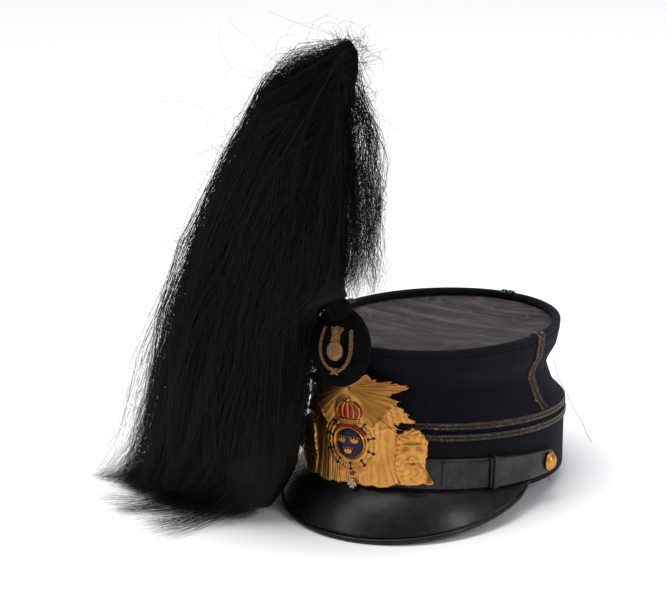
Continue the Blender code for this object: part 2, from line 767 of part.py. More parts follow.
def make_plate_crown(materials, parent):
    """A closed crown: a gold ring with pearled points, and the red cap between its arches."""
    foot = PLATE_WALL + GAP
    middle = CROWN_HEIGHT - PLATE_CENTRE_HEIGHT
    half = CROWN_WIDTH / 2
    base, brow = middle - half * 0.95, middle - half * 0.52
    ring = ((-0.74, base), (0.0, base), (0.74, base), (0.82, brow), (0.0, brow), (-0.82, brow))
    ring = [(a * half, u) for a, u in ring]
    plate_slab("crown_ring", ring, foot, CROWN_RISE * 0.9, materials["gilt"], parent, domed=True)
    cap_foot = brow + GAP
    cap_top = middle + half * 0.70
    lobes = [(0.0, 0.0), (0.80, 0.0), (0.98, 0.42), (0.72, 0.86), (0.22, 1.0)]
    lobes += [(-across, up) for across, up in reversed(lobes[1:])]
    cap = [(a * half, lerp(cap_foot, cap_top, u)) for a, u in lobes]
    plate_slab("crown_cap", cap, foot, CROWN_RISE * 0.6, materials["red"], parent, domed=True)
    seat = foot + CROWN_RISE * 0.6 + GAP
    for number, lean in enumerate((-0.80, -0.40, 0.0, 0.40, 0.80), 1):
        rib = []
        width = half * 0.06
        for share, swell in ((0.02, 0.96), (0.45, 1.12), (0.85, 0.80), (1.0, 0.55)):
            rib.append((lean * half * swell, lerp(cap_foot, cap_top, share)))
        outline = [(a - width, u) for a, u in rib] + [(a + width, u) for a, u in reversed(rib)]
        name = f"crown_arch_{number}"
        plate_slab(name, outline, seat, CROWN_RISE * 0.35, materials["gilt"], parent)
    orb = ring_on_plate(half * 0.17, 8, cap_top + half * 0.17 + GAP)
    plate_slab("crown_orb", orb, foot, CROWN_RISE, materials["gilt"], parent)


def make_collar_pins(materials, parent):
    """Short double-headed pins that radiate round the medallion, leaving room for the crown."""
    middle = MEDALLION_HEIGHT - PLATE_CENTRE_HEIGHT
    foot = PLATE_WALL + GAP
    shares = ((0.0, 1.9), (0.22, 1.9), (0.34, 0.75), (0.66, 0.75), (0.78, 1.9), (1.0, 1.9))
    for number, turn in enumerate(spread(math.radians(-230), math.radians(50), PIN_COUNT), 1):
        along = (math.cos(turn), math.sin(turn))
        side = (-along[1], along[0])
        outline = []
        for sign, run in ((1, shares), (-1, tuple(reversed(shares)))):
            for share, width in run:
                reach = PIN_START + share * PIN_LENGTH
                off = sign * width * PIN_RADIUS
                outline.append((reach * along[0] + off * side[0], middle + reach * along[1] + off * side[1]))
        plate_slab(f"collar_pin_{number}", outline, foot, PIN_RADIUS * 1.6, materials["blue"], parent)


def make_pendant_cross(materials, parent):
    middle = CROSS_HEIGHT - PLATE_CENTRE_HEIGHT
    arm, waist = CROSS_SPAN / 2, CROSS_SPAN * 0.10
    tip = CROSS_SPAN * 0.24
    outline = []
    for quarter in range(4):
        turn = quarter * math.pi / 2
        for a, u in ((arm, -tip), (arm * 0.86, 0.0), (arm, tip), (waist, waist)):
            outline.append((
                a * math.cos(turn) - u * math.sin(turn),
                middle + a * math.sin(turn) + u * math.cos(turn),
            ))
    foot = PLATE_WALL + PLATE_RELIEF + GAP
    plate_slab("pendant_cross", outline, foot, CROSS_RISE, materials["white"], parent)


def socket_axis_y():
    """The socket stands just clear of the welt at the front."""
    return crown_point(0.0, 1.0).y - GAP - SOCKET_RADIUS


def make_socket(materials, parent):
    steps = 12
    profile = (
        (SOCKET_RADIUS, 0.0),
        (SOCKET_RADIUS, SOCKET_LENGTH),
        (SOCKET_BORE, SOCKET_LENGTH),
        (SOCKET_BORE, SOCKET_FLOOR),
    )
    y = socket_axis_y()
    rows = [
        [Vector((r * math.cos(t), y + r * math.sin(t), SOCKET_FOOT + z)) for t in full_turn(steps)]
        for r, z in profile
    ]
    foot = Vector((0, y, SOCKET_FOOT))
    dome("plume_socket", rows, foot, foot + Vector((0, 0, SOCKET_FLOOR)), materials["steel"], parent)


def boss_rise(across, up):
    """Depth of the padded boss over its back, at a place on its face."""
    edge = (across / BOSS_HALF_WIDTH) ** 2 + (up / BOSS_HALF_HEIGHT) ** 2
    return lerp(BOSS_EDGE, BOSS_DEPTH, math.sqrt(max(1 - edge, 0)))


def boss_point(across, up, rise):
    back = socket_axis_y() - SOCKET_RADIUS - GAP
    return Vector((BOSS_SHIFT + across, back - rise, BOSS_HEIGHT + up))


def make_boss(materials, parent):
    steps = 22
    turns = full_turn(steps)
    back = [boss_point(BOSS_HALF_WIDTH * math.cos(t), BOSS_HALF_HEIGHT * math.sin(t), 0.0) for t in turns]
    rows = [back]
    for share in (1.0, 0.96, 0.84, 0.62, 0.34):
        row = []
        for turn in turns:
            across = share * BOSS_HALF_WIDTH * math.cos(turn)
            up = share * BOSS_HALF_HEIGHT * math.sin(turn)
            row.append(boss_point(across, up, boss_rise(across, up)))
        rows.append(row)
    dome("boss", rows, boss_point(0, 0, 0), boss_point(0, 0, BOSS_DEPTH), materials["velvet"], parent)


def make_wreath(materials, parent):
    """Two embroidered branches that rise from a knot at the foot of the boss."""
    for side, sign in (("left", 1), ("right", -1)):
        rows = []
        stations = 11
        for i, turn in enumerate(spread(math.radians(-84), math.radians(48), stations)):
            swell = 1.0 if i % 2 else 0.62
            width = WREATH_RADIUS * swell
            row = []
            for share, rise in ((-1, 0.0), (-0.4, 1.0), (0.4, 1.0), (1, 0.0)):
                radius = WREATH_SHARE + share * width / BOSS_HALF_WIDTH
                across = sign * radius * 0.93 * BOSS_HALF_WIDTH * math.cos(turn)
                up = radius * 1.08 * BOSS_HALF_HEIGHT * math.sin(turn)
                lift = GAP + rise * EMBROIDERY_RISE * swell
                row.append(boss_point(across, up, boss_rise(across, up) + lift))
            rows.append(row)
        tube(f"wreath_{side}", rows, materials["gold_thread"], parent, closed=False)


def boss_slab(name, outline, material, parent):
    bm = bmesh.new()
    lower = [bm.verts.new(boss_point(a, u, boss_rise(a, u) + GAP)) for a, u in outline]
    upper = [bm.verts.new(boss_point(a, u, boss_rise(a, u) + GAP + EMBROIDERY_RISE)) for a, u in outline]
    middle = np.mean(outline, axis=0)
    rise = boss_rise(*middle)
    bridge_rows(bm, [lower, upper])
    cap_with_fan(bm, lower, boss_point(*middle, rise + GAP))
    cap_with_fan(bm, upper, boss_point(*middle, rise + GAP + EMBROIDERY_RISE))
    return finish_object(name, bm, material, parent)


def make_grenade(materials, parent):
    """A flaming grenade, the ball and the flame embroidered apart."""
    drop = -GRENADE_RADIUS * 0.35
    ball = [(GRENADE_RADIUS * math.cos(t), drop + GRENADE_RADIUS * math.sin(t)) for t in full_turn(14)]
    boss_slab("grenade_ball", ball, materials["gold_thread"], parent)
    foot = drop + GRENADE_RADIUS + GAP
    shares = ((-0.24, 0.0), (0.24, 0.0), (0.30, 0.45), (0.52, 0.80), (0.26, 0.78), (0.16, 1.0), (0.0, 0.84),
              (-0.16, 1.0), (-0.26, 0.78), (-0.52, 0.80), (-0.30, 0.45))
    flame = [(a * GRENADE_RADIUS * 1.5, foot + u * FLAME_HEIGHT) for a, u in shares]
    boss_slab("grenade_flame", flame, materials["gold_thread"], parent)


def lean_back(parent):
    """Leans the hat back until its visor's edge and its rim's back stand level on the table."""
    edge = np.array([list(v.co) for v in bpy.data.objects["visor_edge"].data.vertices])
    rim = np.array([list(v.co) for v in bpy.data.objects["band"].data.vertices])
    low, high = 0.0, math.radians(30)

    def heights(angle):
        cosine, sine = math.cos(angle), math.sin(angle)
        return [float((cosine * part[:, 2] - sine * part[:, 1]).min()) for part in (edge, rim)]

    for _ in range(40):
        angle = (low + high) / 2
        visor, back = heights(angle)
        if visor < back:
            low = angle
        else:
            high = angle
    parent.rotation_euler = (-angle, 0, 0)
    parent.location.z = -min(heights(angle))
    return angle


def ring_of(centre, tangent, in_plane, in_depth, sides):
    """Points round a strand's centre, flattened by its two radii."""
    tangent = tangent.normalized()
    across = tangent.cross(Vector((0, 1, 0))).normalized()
    deep = across.cross(tangent).normalized()
    turns = full_turn(sides)
    return [centre + across * in_plane * math.cos(t) + deep * in_depth * math.sin(t) for t in turns]


def lifted_onto_table(row):
    """The ring, raised as far as it dips below the table."""
    dip = max(-min(point.z for point in row), 0.0)
    return [point + Vector((0, 0, dip)) for point in row]


def strand(name, path, radii, material, parent, sides=LOCK_SIDES):
    """A tapered lock along a path; radii holds an in-plane and a depth radius for each point."""
    tangents = [path[min(i + 1, len(path) - 1)] - path[max(i - 1, 0)] for i in range(len(path))]
    rows = [lifted_onto_table(ring_of(p, t, *r, sides)) for p, t, r in zip(path, tangents, radii)]
    return tube(name, rows, material, parent, closed=False)


def boss_top(to_table):
    return (to_table @ boss_point(0, BOSS_HALF_HEIGHT, 0)).z


def plume_level(share, boss_height):
    """Height over the table of a share of the plume's height. BODY_SHARE is level with the boss's top."""
    return float(np.interp(share, (0.0, BODY_SHARE, 1.0), (0.0, boss_height, PLUME_HEIGHT)))


def lock_path(row, boss_height, stations):
    """A lock leaves the stem, arches over and falls, and its tail turns out along the table."""
    root, depth = plume_level(row["root"], boss_height), row["depth"] * PLUME_HALF_DEPTH
    near, floor = row["near"] * PLUME_REACH, row["floor"] * PLUME_REACH
    length, sweep = row["tail"] * PLUME_TAIL, math.radians(row["sweep"])
    path, radii = [], []
    for share in spread(0.0, 1.0, stations):
        fall = min(share / TAIL_START, 1.0)
        tail = max(share - TAIL_START, 0.0) / (1 - TAIL_START)
        reach = near * fall ** row["bend"] + (floor - near) * fall**3 + tail * length * math.cos(sweep)
        forward = tail * length * math.sin(sweep)
        girth = LOCK_RADIUS * row["girth"] * (0.45 + 0.75 * math.sin(math.pi * min(fall * 0.85, 1.0)))
        girth = lerp(girth, LOCK_TIP, tail)
        flat = girth * lerp(1.0, LOCK_FLAT, fall**4)
        height = max(root * (1 - fall), flat)
        path.append(Vector((-reach, PLUME_Y + depth * fall**1.2 - forward, height)))
        radii.append((flat, girth * 1.25))
    return path, radii


def fringe_path(row, stations):
    root, foot = row["root"] * PLUME_HEIGHT, FRINGE_FOOT * row["foot"]
    path, radii = [], []
    for share in spread(0.0, 1.0, stations):
        out = FRINGE_REACH * row["reach"] * math.sin(min(share * 1.25, 1.0) * math.pi / 2)
        depth = row["depth"] * PLUME_HALF_DEPTH * share**0.7
        girth = LOCK_RADIUS * 0.5 * (0.55 + 0.6 * math.sin(math.pi * share * 0.8)) * (1 - 0.75 * share**4)
        path.append(Vector((out, PLUME_Y + depth, lerp(root, foot, share**1.15))))
        radii.append((girth, girth * 1.3))
    return path, radii


def mane_rows(boss_height):
    rows = []
    sides = 12
    for row in MANE_SECTIONS:
        left, right = -row["left"] * PLUME_REACH, -row["right"] * PLUME_REACH
        middle, half = (left + right) / 2, (right - left) / 2
        depth = row["depth"] * PLUME_HALF_DEPTH
        height = plume_level(row["height"], boss_height)
        y = PLUME_Y - row["fore"] * PLUME_HALF_DEPTH
        loop = []
        for turn in full_turn(sides):
            across = math.copysign(abs(math.cos(turn)) ** 0.8, math.cos(turn))
            loop.append(Vector((middle + half * across, y + depth * math.sin(turn), height)))
        rows.append(loop)
    return rows


def stem_path(to_table):
    """From the socket's floor up its bore, straight on past the boss, then to the plume's top."""
    y = socket_axis_y()
    foot = SOCKET_FOOT + SOCKET_FLOOR + GAP
    past_boss = BOSS_HEIGHT + BOSS_HALF_HEIGHT + STEM_TOP_RADIUS
    straight = [to_table @ Vector((0, y, z)) for z in (foot, SOCKET_FOOT + SOCKET_LENGTH, past_boss)]
    return straight + [
        Vector((0, PLUME_Y, lerp(straight[-1].z, PLUME_HEIGHT, 0.35))),
        Vector((0, PLUME_Y, PLUME_HEIGHT * STEM_SHARE)),
    ]


def make_plume(materials, parent, to_table):
    """The hair's body, its locks and the stem, fused into one solid."""
    hair = materials["horsehair"]
    bm = bmesh.new()
    boss_height = boss_top(to_table)
    verts = [[bm.verts.new(point) for point in row] for row in mane_rows(boss_height)]
    bridge_rows(bm, verts)
    bm.faces.new(verts[0])
    bm.faces.new(verts[-1])
    plume = finish_object("plume", bm, hair, parent)
    pieces = bpy.data.collections.new("plume_locks")
    bpy.context.scene.collection.children.link(pieces)
    parts = [
        strand(f"lock_{i}", *lock_path(row, boss_height, 9), hair, parent) for i, row in enumerate(LOCKS)
    ]
    parts += [strand(f"fringe_{i}", *fringe_path(row, 6), hair, parent) for i, row in enumerate(FRINGE)]
    stem = stem_path(to_table)
    girths = [(radius, radius) for radius in (STEM_RADIUS,) * 3 + (STEM_TOP_RADIUS, LOCK_TIP)]
    parts.append(strand("stem", stem, girths, hair, parent, sides=8))
    for part in parts:
        bpy.context.scene.collection.objects.unlink(part)
        pieces.objects.link(part)
        part.hide_render = True
        part.display_type = "WIRE"
    fuse = plume.modifiers.new("fuse_locks", "BOOLEAN")
    fuse.operation = "UNION"
    fuse.solver = "EXACT"
    fuse.operand_type = "COLLECTION"
    fuse.collection = pieces
    return plume


def centre_on_table(root):
    """Moves the whole part so that its origin is the middle of its footprint, on the table."""
    bpy.context.view_layer.update()
    graph = bpy.context.evaluated_depsgraph_get()
    low, high = Vector((9, 9, 9)), Vector((-9, -9, -9))
    for obj in bpy.context.scene.objects:
        if obj.type != "MESH" or obj.hide_render:
            continue
        shape = obj.evaluated_get(graph)
        mesh = shape.to_mesh()
        for vertex in mesh.vertices:
            point = obj.matrix_world @ vertex.co
            low = Vector(map(min, low, point))
            high = Vector(map(max, high, point))
        shape.to_mesh_clear()
    root.location = (-(low.x + high.x) / 2, -(low.y + high.y) / 2, -low.z)


def main():
    clear_scene()
    materials = make_materials()
    root = bpy.data.objects.new("table_centre", None)
    hat = bpy.data.objects.new("hat_frame", None)
    for empty in (root, hat):
        bpy.context.scene.collection.objects.link(empty)
    hat.parent = root
    make_band(materials, hat)
    make_crown(materials, hat)
    make_welt(materials, hat)
    make_disc(materials, hat)
    make_ring_braids(materials, hat)
    make_side_braids(materials, hat)
    make_visor(materials, hat)
    make_visor_edge(materials, hat)
    make_strap(materials, hat)
    make_buttons(materials, hat)
    make_plate(materials, hat)
    make_medallion(materials, hat)
    make_plate_crown(materials, hat)
    make_collar_pins(materials, hat)
    make_pendant_cross(materials, hat)
    make_socket(materials, hat)
    make_boss(materials, hat)
    make_wreath(materials, hat)
    make_grenade(materials, hat)
    angle = lean_back(hat)
    to_table = Matrix.Translation((0, 0, hat.location.z)) @ Matrix.Rotation(-angle, 4, "X")
    make_plume(materials, root, to_table)
    centre_on_table(root)


main()
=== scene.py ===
import math

import bpy
import numpy as np
from mathutils import Matrix, Vector


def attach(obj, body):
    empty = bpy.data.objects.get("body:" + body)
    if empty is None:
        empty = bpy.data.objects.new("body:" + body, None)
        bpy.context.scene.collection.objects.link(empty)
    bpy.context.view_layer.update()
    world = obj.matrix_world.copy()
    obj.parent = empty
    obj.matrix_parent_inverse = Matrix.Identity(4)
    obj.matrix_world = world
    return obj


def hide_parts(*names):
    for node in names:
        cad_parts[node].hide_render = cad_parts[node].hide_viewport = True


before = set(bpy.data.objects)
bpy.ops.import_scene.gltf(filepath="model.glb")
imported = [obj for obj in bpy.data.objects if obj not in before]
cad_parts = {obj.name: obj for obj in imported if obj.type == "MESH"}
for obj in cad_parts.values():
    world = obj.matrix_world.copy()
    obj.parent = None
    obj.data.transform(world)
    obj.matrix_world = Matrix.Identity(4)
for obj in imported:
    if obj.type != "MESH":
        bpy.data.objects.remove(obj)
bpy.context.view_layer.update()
scene = bpy.context.scene

# the hat is drawn level about the middle of its rim, then leant back onto the table
hat = {"x": 0.04825, "y": 0.03856, "z": 0.01239, "lean": 0.121444}
hatToRow = Matrix.Translation((hat["x"], hat["y"], hat["z"])) @ Matrix.Rotation(-hat["lean"], 4, "X")

oval = {
    "bandWidth": 0.0781, "bandLength": 0.1023, "bandHeight": 0.0395, "taper": 0.0020,
    "topWidth": 0.0716, "topLength": 0.0990, "topShift": -0.0078, "topHeight": 0.0945, "slope": 0.05,
    "waistFront": 0.0040, "waistSide": 0.0092, "waistBack": 0.0140,
    "weltWidth": 0.0050, "weltHeight": 0.0048, "weltSquare": 0.72, "gap": 0.0003, "wall": 0.0020,
}
crownHeights = [0.00, 0.13, 0.20, 0.28, 0.40, 0.54, 0.66, 0.80, 1.00]
crownWaists = [0.00, 0.05, 0.44, 0.66, 0.84, 1.00, 0.74, 0.27, 0.00]


# ---- camera first: it never moves again
def placeCamera():
    view = {"eye": (0.60535, -0.99244, 0.46400), "target": (-0.02415, 0.02796, 0.11075), "lens": 102.6}
    bpy.ops.object.camera_add(location=view["eye"])
    camera = bpy.context.active_object
    camera.name = "photoCamera"
    towards = Vector(view["target"]) - Vector(view["eye"])
    camera.rotation_euler = towards.to_track_quat("-Z", "Y").to_euler()
    camera.data.lens = view["lens"]
    camera.data.sensor_width = 36
    camera.data.clip_end = 50
    scene.camera = camera
    print("camera placed")


# ---- small helpers for modelling
def deselectAll():
    if bpy.context.active_object and bpy.context.active_object.mode != "OBJECT":
        bpy.ops.object.mode_set(mode="OBJECT")
    bpy.ops.object.select_all(action="DESELECT")


def pick(obj):
    deselectAll()
    obj.select_set(True)
    bpy.context.view_layer.objects.active = obj


def applyWith(obj, kind, **settings):
    pick(obj)
    modifier = obj.modifiers.new(kind.lower(), kind)
    for key, value in settings.items():
        setattr(modifier, key, value)
    bpy.ops.object.modifier_apply(modifier=modifier.name)


def readPoints(obj):
    points = np.empty(len(obj.data.vertices) * 3, np.float64)
    obj.data.vertices.foreach_get("co", points)
    return points.reshape(-1, 3)


def writePoints(obj, points):
    obj.data.vertices.foreach_set("co", np.ascontiguousarray(points, np.float32).ravel())
    obj.data.update()


def mergeDoubles(obj, distance=1e-7):
    pick(obj)
    bpy.ops.object.mode_set(mode="EDIT")
    bpy.ops.mesh.select_all(action="SELECT")
    bpy.ops.mesh.remove_doubles(threshold=distance)
    bpy.ops.mesh.normals_make_consistent(inside=False)
    bpy.ops.object.mode_set(mode="OBJECT")


def thicken(obj, wall, offset=-1, roll=None):
    # a sheet gets its wall, and its edges are rounded by the roll
    applyWith(obj, "SOLIDIFY", thickness=wall, offset=offset)
    if roll:
        applyWith(obj, "BEVEL", width=roll, segments=2, limit_method="ANGLE", angle_limit=1.0)


def writeUV(obj, along, across, period=None):
    # along runs with the strip and across over it, and a face over the seam is carried past the end
    layer = obj.data.uv_layers.new(name="strip")
    corners = np.empty(len(obj.data.loops), np.int32)
    obj.data.loops.foreach_get("vertex_index", corners)
    uv = np.stack([along[corners], across[corners]], 1)
    if period:
        for face in obj.data.polygons:
            part = slice(face.loop_start, face.loop_start + face.loop_total)
            run = uv[part, 0]
            uv[part, 0] = np.where(run.max() - run > period / 2, run + period, run)
    layer.data.foreach_set("uv", uv.astype(np.float32).ravel())


def wrapTube(name, table, capped=False, along=None, across=None, marks=None, merged=True):
    # a circle drawn up into a tube by extrusion, each ring then set to its row of the table
    rows, around = table.shape[:2]
    deselectAll()
    bpy.ops.mesh.primitive_circle_add(vertices=around, radius=1, fill_type="NGON" if capped else "NOTHING")
    obj = bpy.context.active_object
    obj.name = obj.data.name = name
    bpy.ops.object.mode_set(mode="EDIT")
    bpy.ops.mesh.select_all(action="SELECT")
    for _ in range(rows - 1):
        bpy.ops.mesh.extrude_region_move(TRANSFORM_OT_translate={"value": (0, 0, 1)})
    bpy.ops.object.mode_set(mode="OBJECT")
    points = readPoints(obj)
    row = np.rint(points[:, 2]).astype(int)
    column = np.rint(np.arctan2(points[:, 0], -points[:, 1]) / (2 * math.pi) * around).astype(int) % around
    writePoints(obj, table[row, column])
    if along is not None:
        writeUV(obj, along[row, column], across[row, column])
    for key, values in (marks or {}).items():
        layer = obj.data.attributes.new(key, "FLOAT", "POINT")
        layer.data.foreach_set("value", values[row, column].astype(np.float32))
    if merged:
        mergeDoubles(obj)
    return obj


def wrapStrip(name, table):
    # a flat grid laid over a table of places
    rows, columns = table.shape[:2]
    deselectAll()
    bpy.ops.mesh.primitive_grid_add(x_subdivisions=columns - 1, y_subdivisions=rows - 1, size=2)
    obj = bpy.context.active_object
    obj.name = obj.data.name = name
    points = readPoints(obj)
    column = np.rint((points[:, 0] + 1) / 2 * (columns - 1)).astype(int)
    row = np.rint((points[:, 1] + 1) / 2 * (rows - 1)).astype(int)
    writePoints(obj, table[row, column])
    return obj


def wrapRing(name, table, along=None, across=None, period=None):
    # a torus whose rings are set to a closed table of sections, their number a multiple of four
    around, sides = table.shape[:2]
    deselectAll()
    bpy.ops.mesh.primitive_torus_add(
        major_segments=around, minor_segments=sides, major_radius=1, minor_radius=0.25, generate_uvs=False)
    obj = bpy.context.active_object
    obj.name = obj.data.name = name
    points = readPoints(obj)
    turn = np.arctan2(points[:, 0], -points[:, 1])
    column = np.rint(turn / (2 * math.pi) * around).astype(int) % around
    swing = np.arctan2(points[:, 2], np.hypot(points[:, 0], points[:, 1]) - 1)
    side = np.rint(swing / (2 * math.pi) * sides).astype(int) % sides
    writePoints(obj, table[column, side])
    if along is not None:
        writeUV(obj, along[column, side], across[column, side], period)
    mergeDoubles(obj, 1e-9)
    return obj


def joinAll(name, parts):
    pick(parts[0])
    for part in parts:
        part.select_set(True)
    bpy.ops.object.join()
    obj = bpy.context.active_object
    obj.name = obj.data.name = name
    return obj


def settle(obj, finish, nodes=(), leaning=True, smooth=40):
    # into its place for good: row frame, smooth shading, finish, body and the nodes it stands for
    if leaning:
        obj.data.transform(hatToRow)
    pick(obj)
    bpy.ops.object.shade_smooth_by_angle(angle=math.radians(smooth))
    obj.data.materials.clear()
    obj.data.materials.append(finishes[finish])
    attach(obj, "root")
    if nodes:
        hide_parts(*nodes)
    print("settled", obj.name)
    return obj


def evenSteps(points, count):
    # a line's points laid out again at even steps, and how far along it each one is
    reached = np.concatenate([[0], np.cumsum(np.linalg.norm(np.diff(points, axis=0), axis=1))])
    even = np.linspace(0, reached[-1], count)
    return np.stack([np.interp(even, reached, column) for column in points.T], 1), even


def smoothed(line, rounds):
    for _ in range(rounds):
        line[1:-1] = (line[:-2] + line[1:-1] * 2 + line[2:]) / 4
    return line


def ripple(places, scale, seed, octaves=3):
    # smooth seeded unevenness over a list of places, about -1 to 1
    draw = np.random.default_rng(seed)
    total = np.zeros(len(places))
    for octave in range(octaves):
        for _ in range(5):
            wave = draw.normal(size=3)
            wave *= scale * 2**octave / np.linalg.norm(wave)
            total += np.sin(places @ wave + draw.uniform(0, 6.28)) / 2**octave / 3
    return total


def fade(value, width=1.0):
    # from 0 to 1 over the width
    return np.clip(value / width, 0, 1)


def squared(value, power):
    # a sine or cosine pushed towards its ends, which squares a circle's corners
    return np.sign(value) * np.abs(value) ** power


# ---- the hat's own shapes, in level hat space, angles turning from the front to the wearer's left
def ovalSpot(halfWidth, halfLength, angle, outward, middle=0.0):
    # on an oval, or outward metres off it
    nx, ny = np.sin(angle) / halfWidth, -np.cos(angle) / halfLength
    size = np.hypot(nx, ny)
    x = halfWidth * np.sin(angle) + outward * nx / size
    return x, middle - halfLength * np.cos(angle) + outward * ny / size


def bandSpot(angle, outward, height):
    inset = oval["taper"] * height / oval["bandHeight"]
    x, y = ovalSpot(oval["bandWidth"], oval["bandLength"], angle, outward - inset)
    return np.stack(np.broadcast_arrays(x, y, height + 0 * angle), -1)


def wallTop(angle):
    # the crown is cut off by a plane that slopes down to the front
    y = oval["topShift"] - oval["topLength"] * np.cos(angle)
    return oval["topHeight"] + oval["slope"] * y - oval["weltHeight"]


def easedWaist(share):
    # the listed waist, rounded between its points
    samples = np.linspace(0, 1, 401)
    rough = np.interp(samples, crownHeights, crownWaists)
    width = 15
    kernel = np.hanning(2 * width + 1)
    padded = np.pad(rough, width, mode="reflect", reflect_type="odd")
    smooth = np.convolve(padded, kernel / kernel.sum(), mode="valid")
    return np.interp(share, samples, smooth)


def crownSpot(angle, share, outward=0.0):
    # on the crown's outside, the share running from its foot at 0 to its top at 1
    facing = np.cos(angle)
    depth = oval["waistSide"] + (oval["waistFront"] - oval["waistSide"]) * np.maximum(facing, 0) ** 2
    depth = depth + (oval["waistBack"] - oval["waistSide"]) * np.maximum(-facing, 0) ** 2
    inset = depth * easedWaist(share) + oval["taper"] * (1 - share)
    halfWidth = oval["bandWidth"] + (oval["topWidth"] - oval["bandWidth"]) * share
    halfLength = oval["bandLength"] + (oval["topLength"] - oval["bandLength"]) * share
    x, y = ovalSpot(halfWidth, halfLength, angle, outward - inset, oval["topShift"] * share)
    foot = oval["bandHeight"] + oval["gap"]
    return np.stack(np.broadcast_arrays(x, y, foot + (wallTop(angle) - foot) * share), -1)


def crownShare(angle, height):
    foot = oval["bandHeight"] + oval["gap"]
    return (height - foot) / (wallTop(angle) - foot)


def weltSpot(angle, inward, up):
    edge = crownSpot(angle, 1.0 + 0 * angle, -inward)
    edge[..., 2] = wallTop(angle) + oval["gap"] + up
    return edge


def weltSection(angle, inward, up):
    # the welt's squared round section, inward and up running from -1 to 1 over it
    inward, up = squared(inward, oval["weltSquare"]), squared(up, oval["weltSquare"])
    return weltSpot(angle, (inward + 1) / 2 * oval["weltWidth"], (up + 1) / 2 * oval["weltHeight"])


def turns(count):
    # even angles once round
    return np.arange(count) * 2 * math.pi / count


# ---- finishes
finishes = {}
bench = {}  # the finish being mixed: its material, its shader and its coordinates


def plug(socket, value):
    # another node's output is linked, anything else is written into the socket
    if isinstance(value, bpy.types.NodeSocket):
        bench["material"].node_tree.links.new(value, socket)
    elif socket.type == "RGBA":
        socket.default_value = (*value, 1)
    else:
        socket.default_value = value


def addNode(kind, inputs=None, **settings):
    node = bench["material"].node_tree.nodes.new(kind)
    for key, value in settings.items():
        setattr(node, key, value)
    for key, value in (inputs or {}).items():
        plug(node.inputs[key], value)
    return node


def startFinish(name, colour, roughness, metallic=0.0, sockets=None):
    material = bpy.data.materials.new(name)
    material.use_nodes = True
    material.diffuse_color = (*colour, 1)
    finishes[name] = bench["material"] = material
    bench["shader"] = material.node_tree.nodes["Principled BSDF"]
    values = {"Base Color": colour, "Roughness": roughness, "Metallic": metallic, **(sockets or {})}
    for key, value in values.items():
        plug(bench["shader"].inputs[key], value)
    bench["coords"] = addNode("ShaderNodeTexCoord").outputs["Object"]


def stretched(scale, turn=(0, 0, 0)):
    return addNode("ShaderNodeMapping", {
        "Vector": bench["coords"], "Scale": scale, "Rotation": turn}).outputs["Vector"]


def noise(scale, detail=3.0, roughness=0.55, distortion=0.0, turn=(0, 0, 0)):
    # three scales give a noise that is stretched by them
    coords = bench["coords"]
    if isinstance(scale, tuple):
        coords, scale = stretched(scale, turn), 1.0
    return addNode("ShaderNodeTexNoise", {
        "Vector": coords, "Scale": scale, "Detail": detail, "Roughness": roughness, "Distortion": distortion,
    }).outputs["Fac"]


def ramp(factor, *stops):
    # each stop is a place and a colour, or one number for a grey
    node = addNode("ShaderNodeValToRGB", {"Fac": factor})
    elements = node.color_ramp.elements
    while len(elements) < len(stops):
        elements.new(0.5)
    for element, (place, colour) in zip(elements, stops):
        element.position = place
        element.color = (*(colour if isinstance(colour, tuple) else (colour,) * 3), 1)
    return node.outputs["Color"]


def reckon(operation, a, b=0.0, clamp=False):
    node = addNode("ShaderNodeMath", operation=operation, use_clamp=clamp)
    plug(node.inputs[0], a)
    plug(node.inputs[1], b)
    return node.outputs[0]


def times(a, b, clamp=False):
    return reckon("MULTIPLY", a, b, clamp)


def blend(factor, below, over):
    node = addNode("ShaderNodeMix", data_type="RGBA")
    for number, value in ((0, factor), (6, below), (7, over)):
        plug(node.inputs[number], value)
    return node.outputs[2]


def span(factor, low, high):
    return addNode("ShaderNodeMapRange", {"Value": factor, "To Min": low, "To Max": high}).outputs["Result"]


def bump(height, strength, distance, below=None):
    inputs = {"Height": height, "Strength": strength, "Distance": distance}
    if below is not None:
        inputs["Normal"] = below
    return addNode("ShaderNodeBump", inputs).outputs["Normal"]


def dress(colour, normal, roughness=None):
    plug(bench["shader"].inputs["Base Color"], colour)
    plug(bench["shader"].inputs["Normal"], normal)
    if roughness is not None:
        plug(bench["shader"].inputs["Roughness"], roughness)


def makeWool():
    wool = {"deep": (0.0022, 0.0021, 0.0036), "worn": (0.0068, 0.0058, 0.0098),
            "tips": (0.0080, 0.0072, 0.0115), "lint": (0.06, 0.055, 0.06), "nap": 0.00035}
    startFinish("midnight_wool", wool["deep"], 0.93, sockets={
        "Sheen Weight": 0.16, "Sheen Roughness": 0.45, "Sheen Tint": (0.26, 0.22, 0.34),
        "Specular IOR Level": 0.08})
    cloud = noise(28, 4)
    nap = noise(1500, 4, 0.7)
    twill = noise((700, 700, 2600), 2, turn=(0.5, 0.4, 0))
    flecks = ramp(noise(520, 1), (0.735, 0), (0.76, 1))
    tone = ramp(cloud, (0.30, wool["deep"]), (0.75, wool["worn"]))
    tone = blend(span(nap, 0.0, 0.5), tone, wool["tips"])
    tone = blend(times(flecks, 0.22), tone, wool["lint"])
    rough = bump(twill, 0.25, 0.0002, bump(nap, 0.5, wool["nap"]))
    dress(tone, bump(cloud, 0.25, 0.0012, rough))


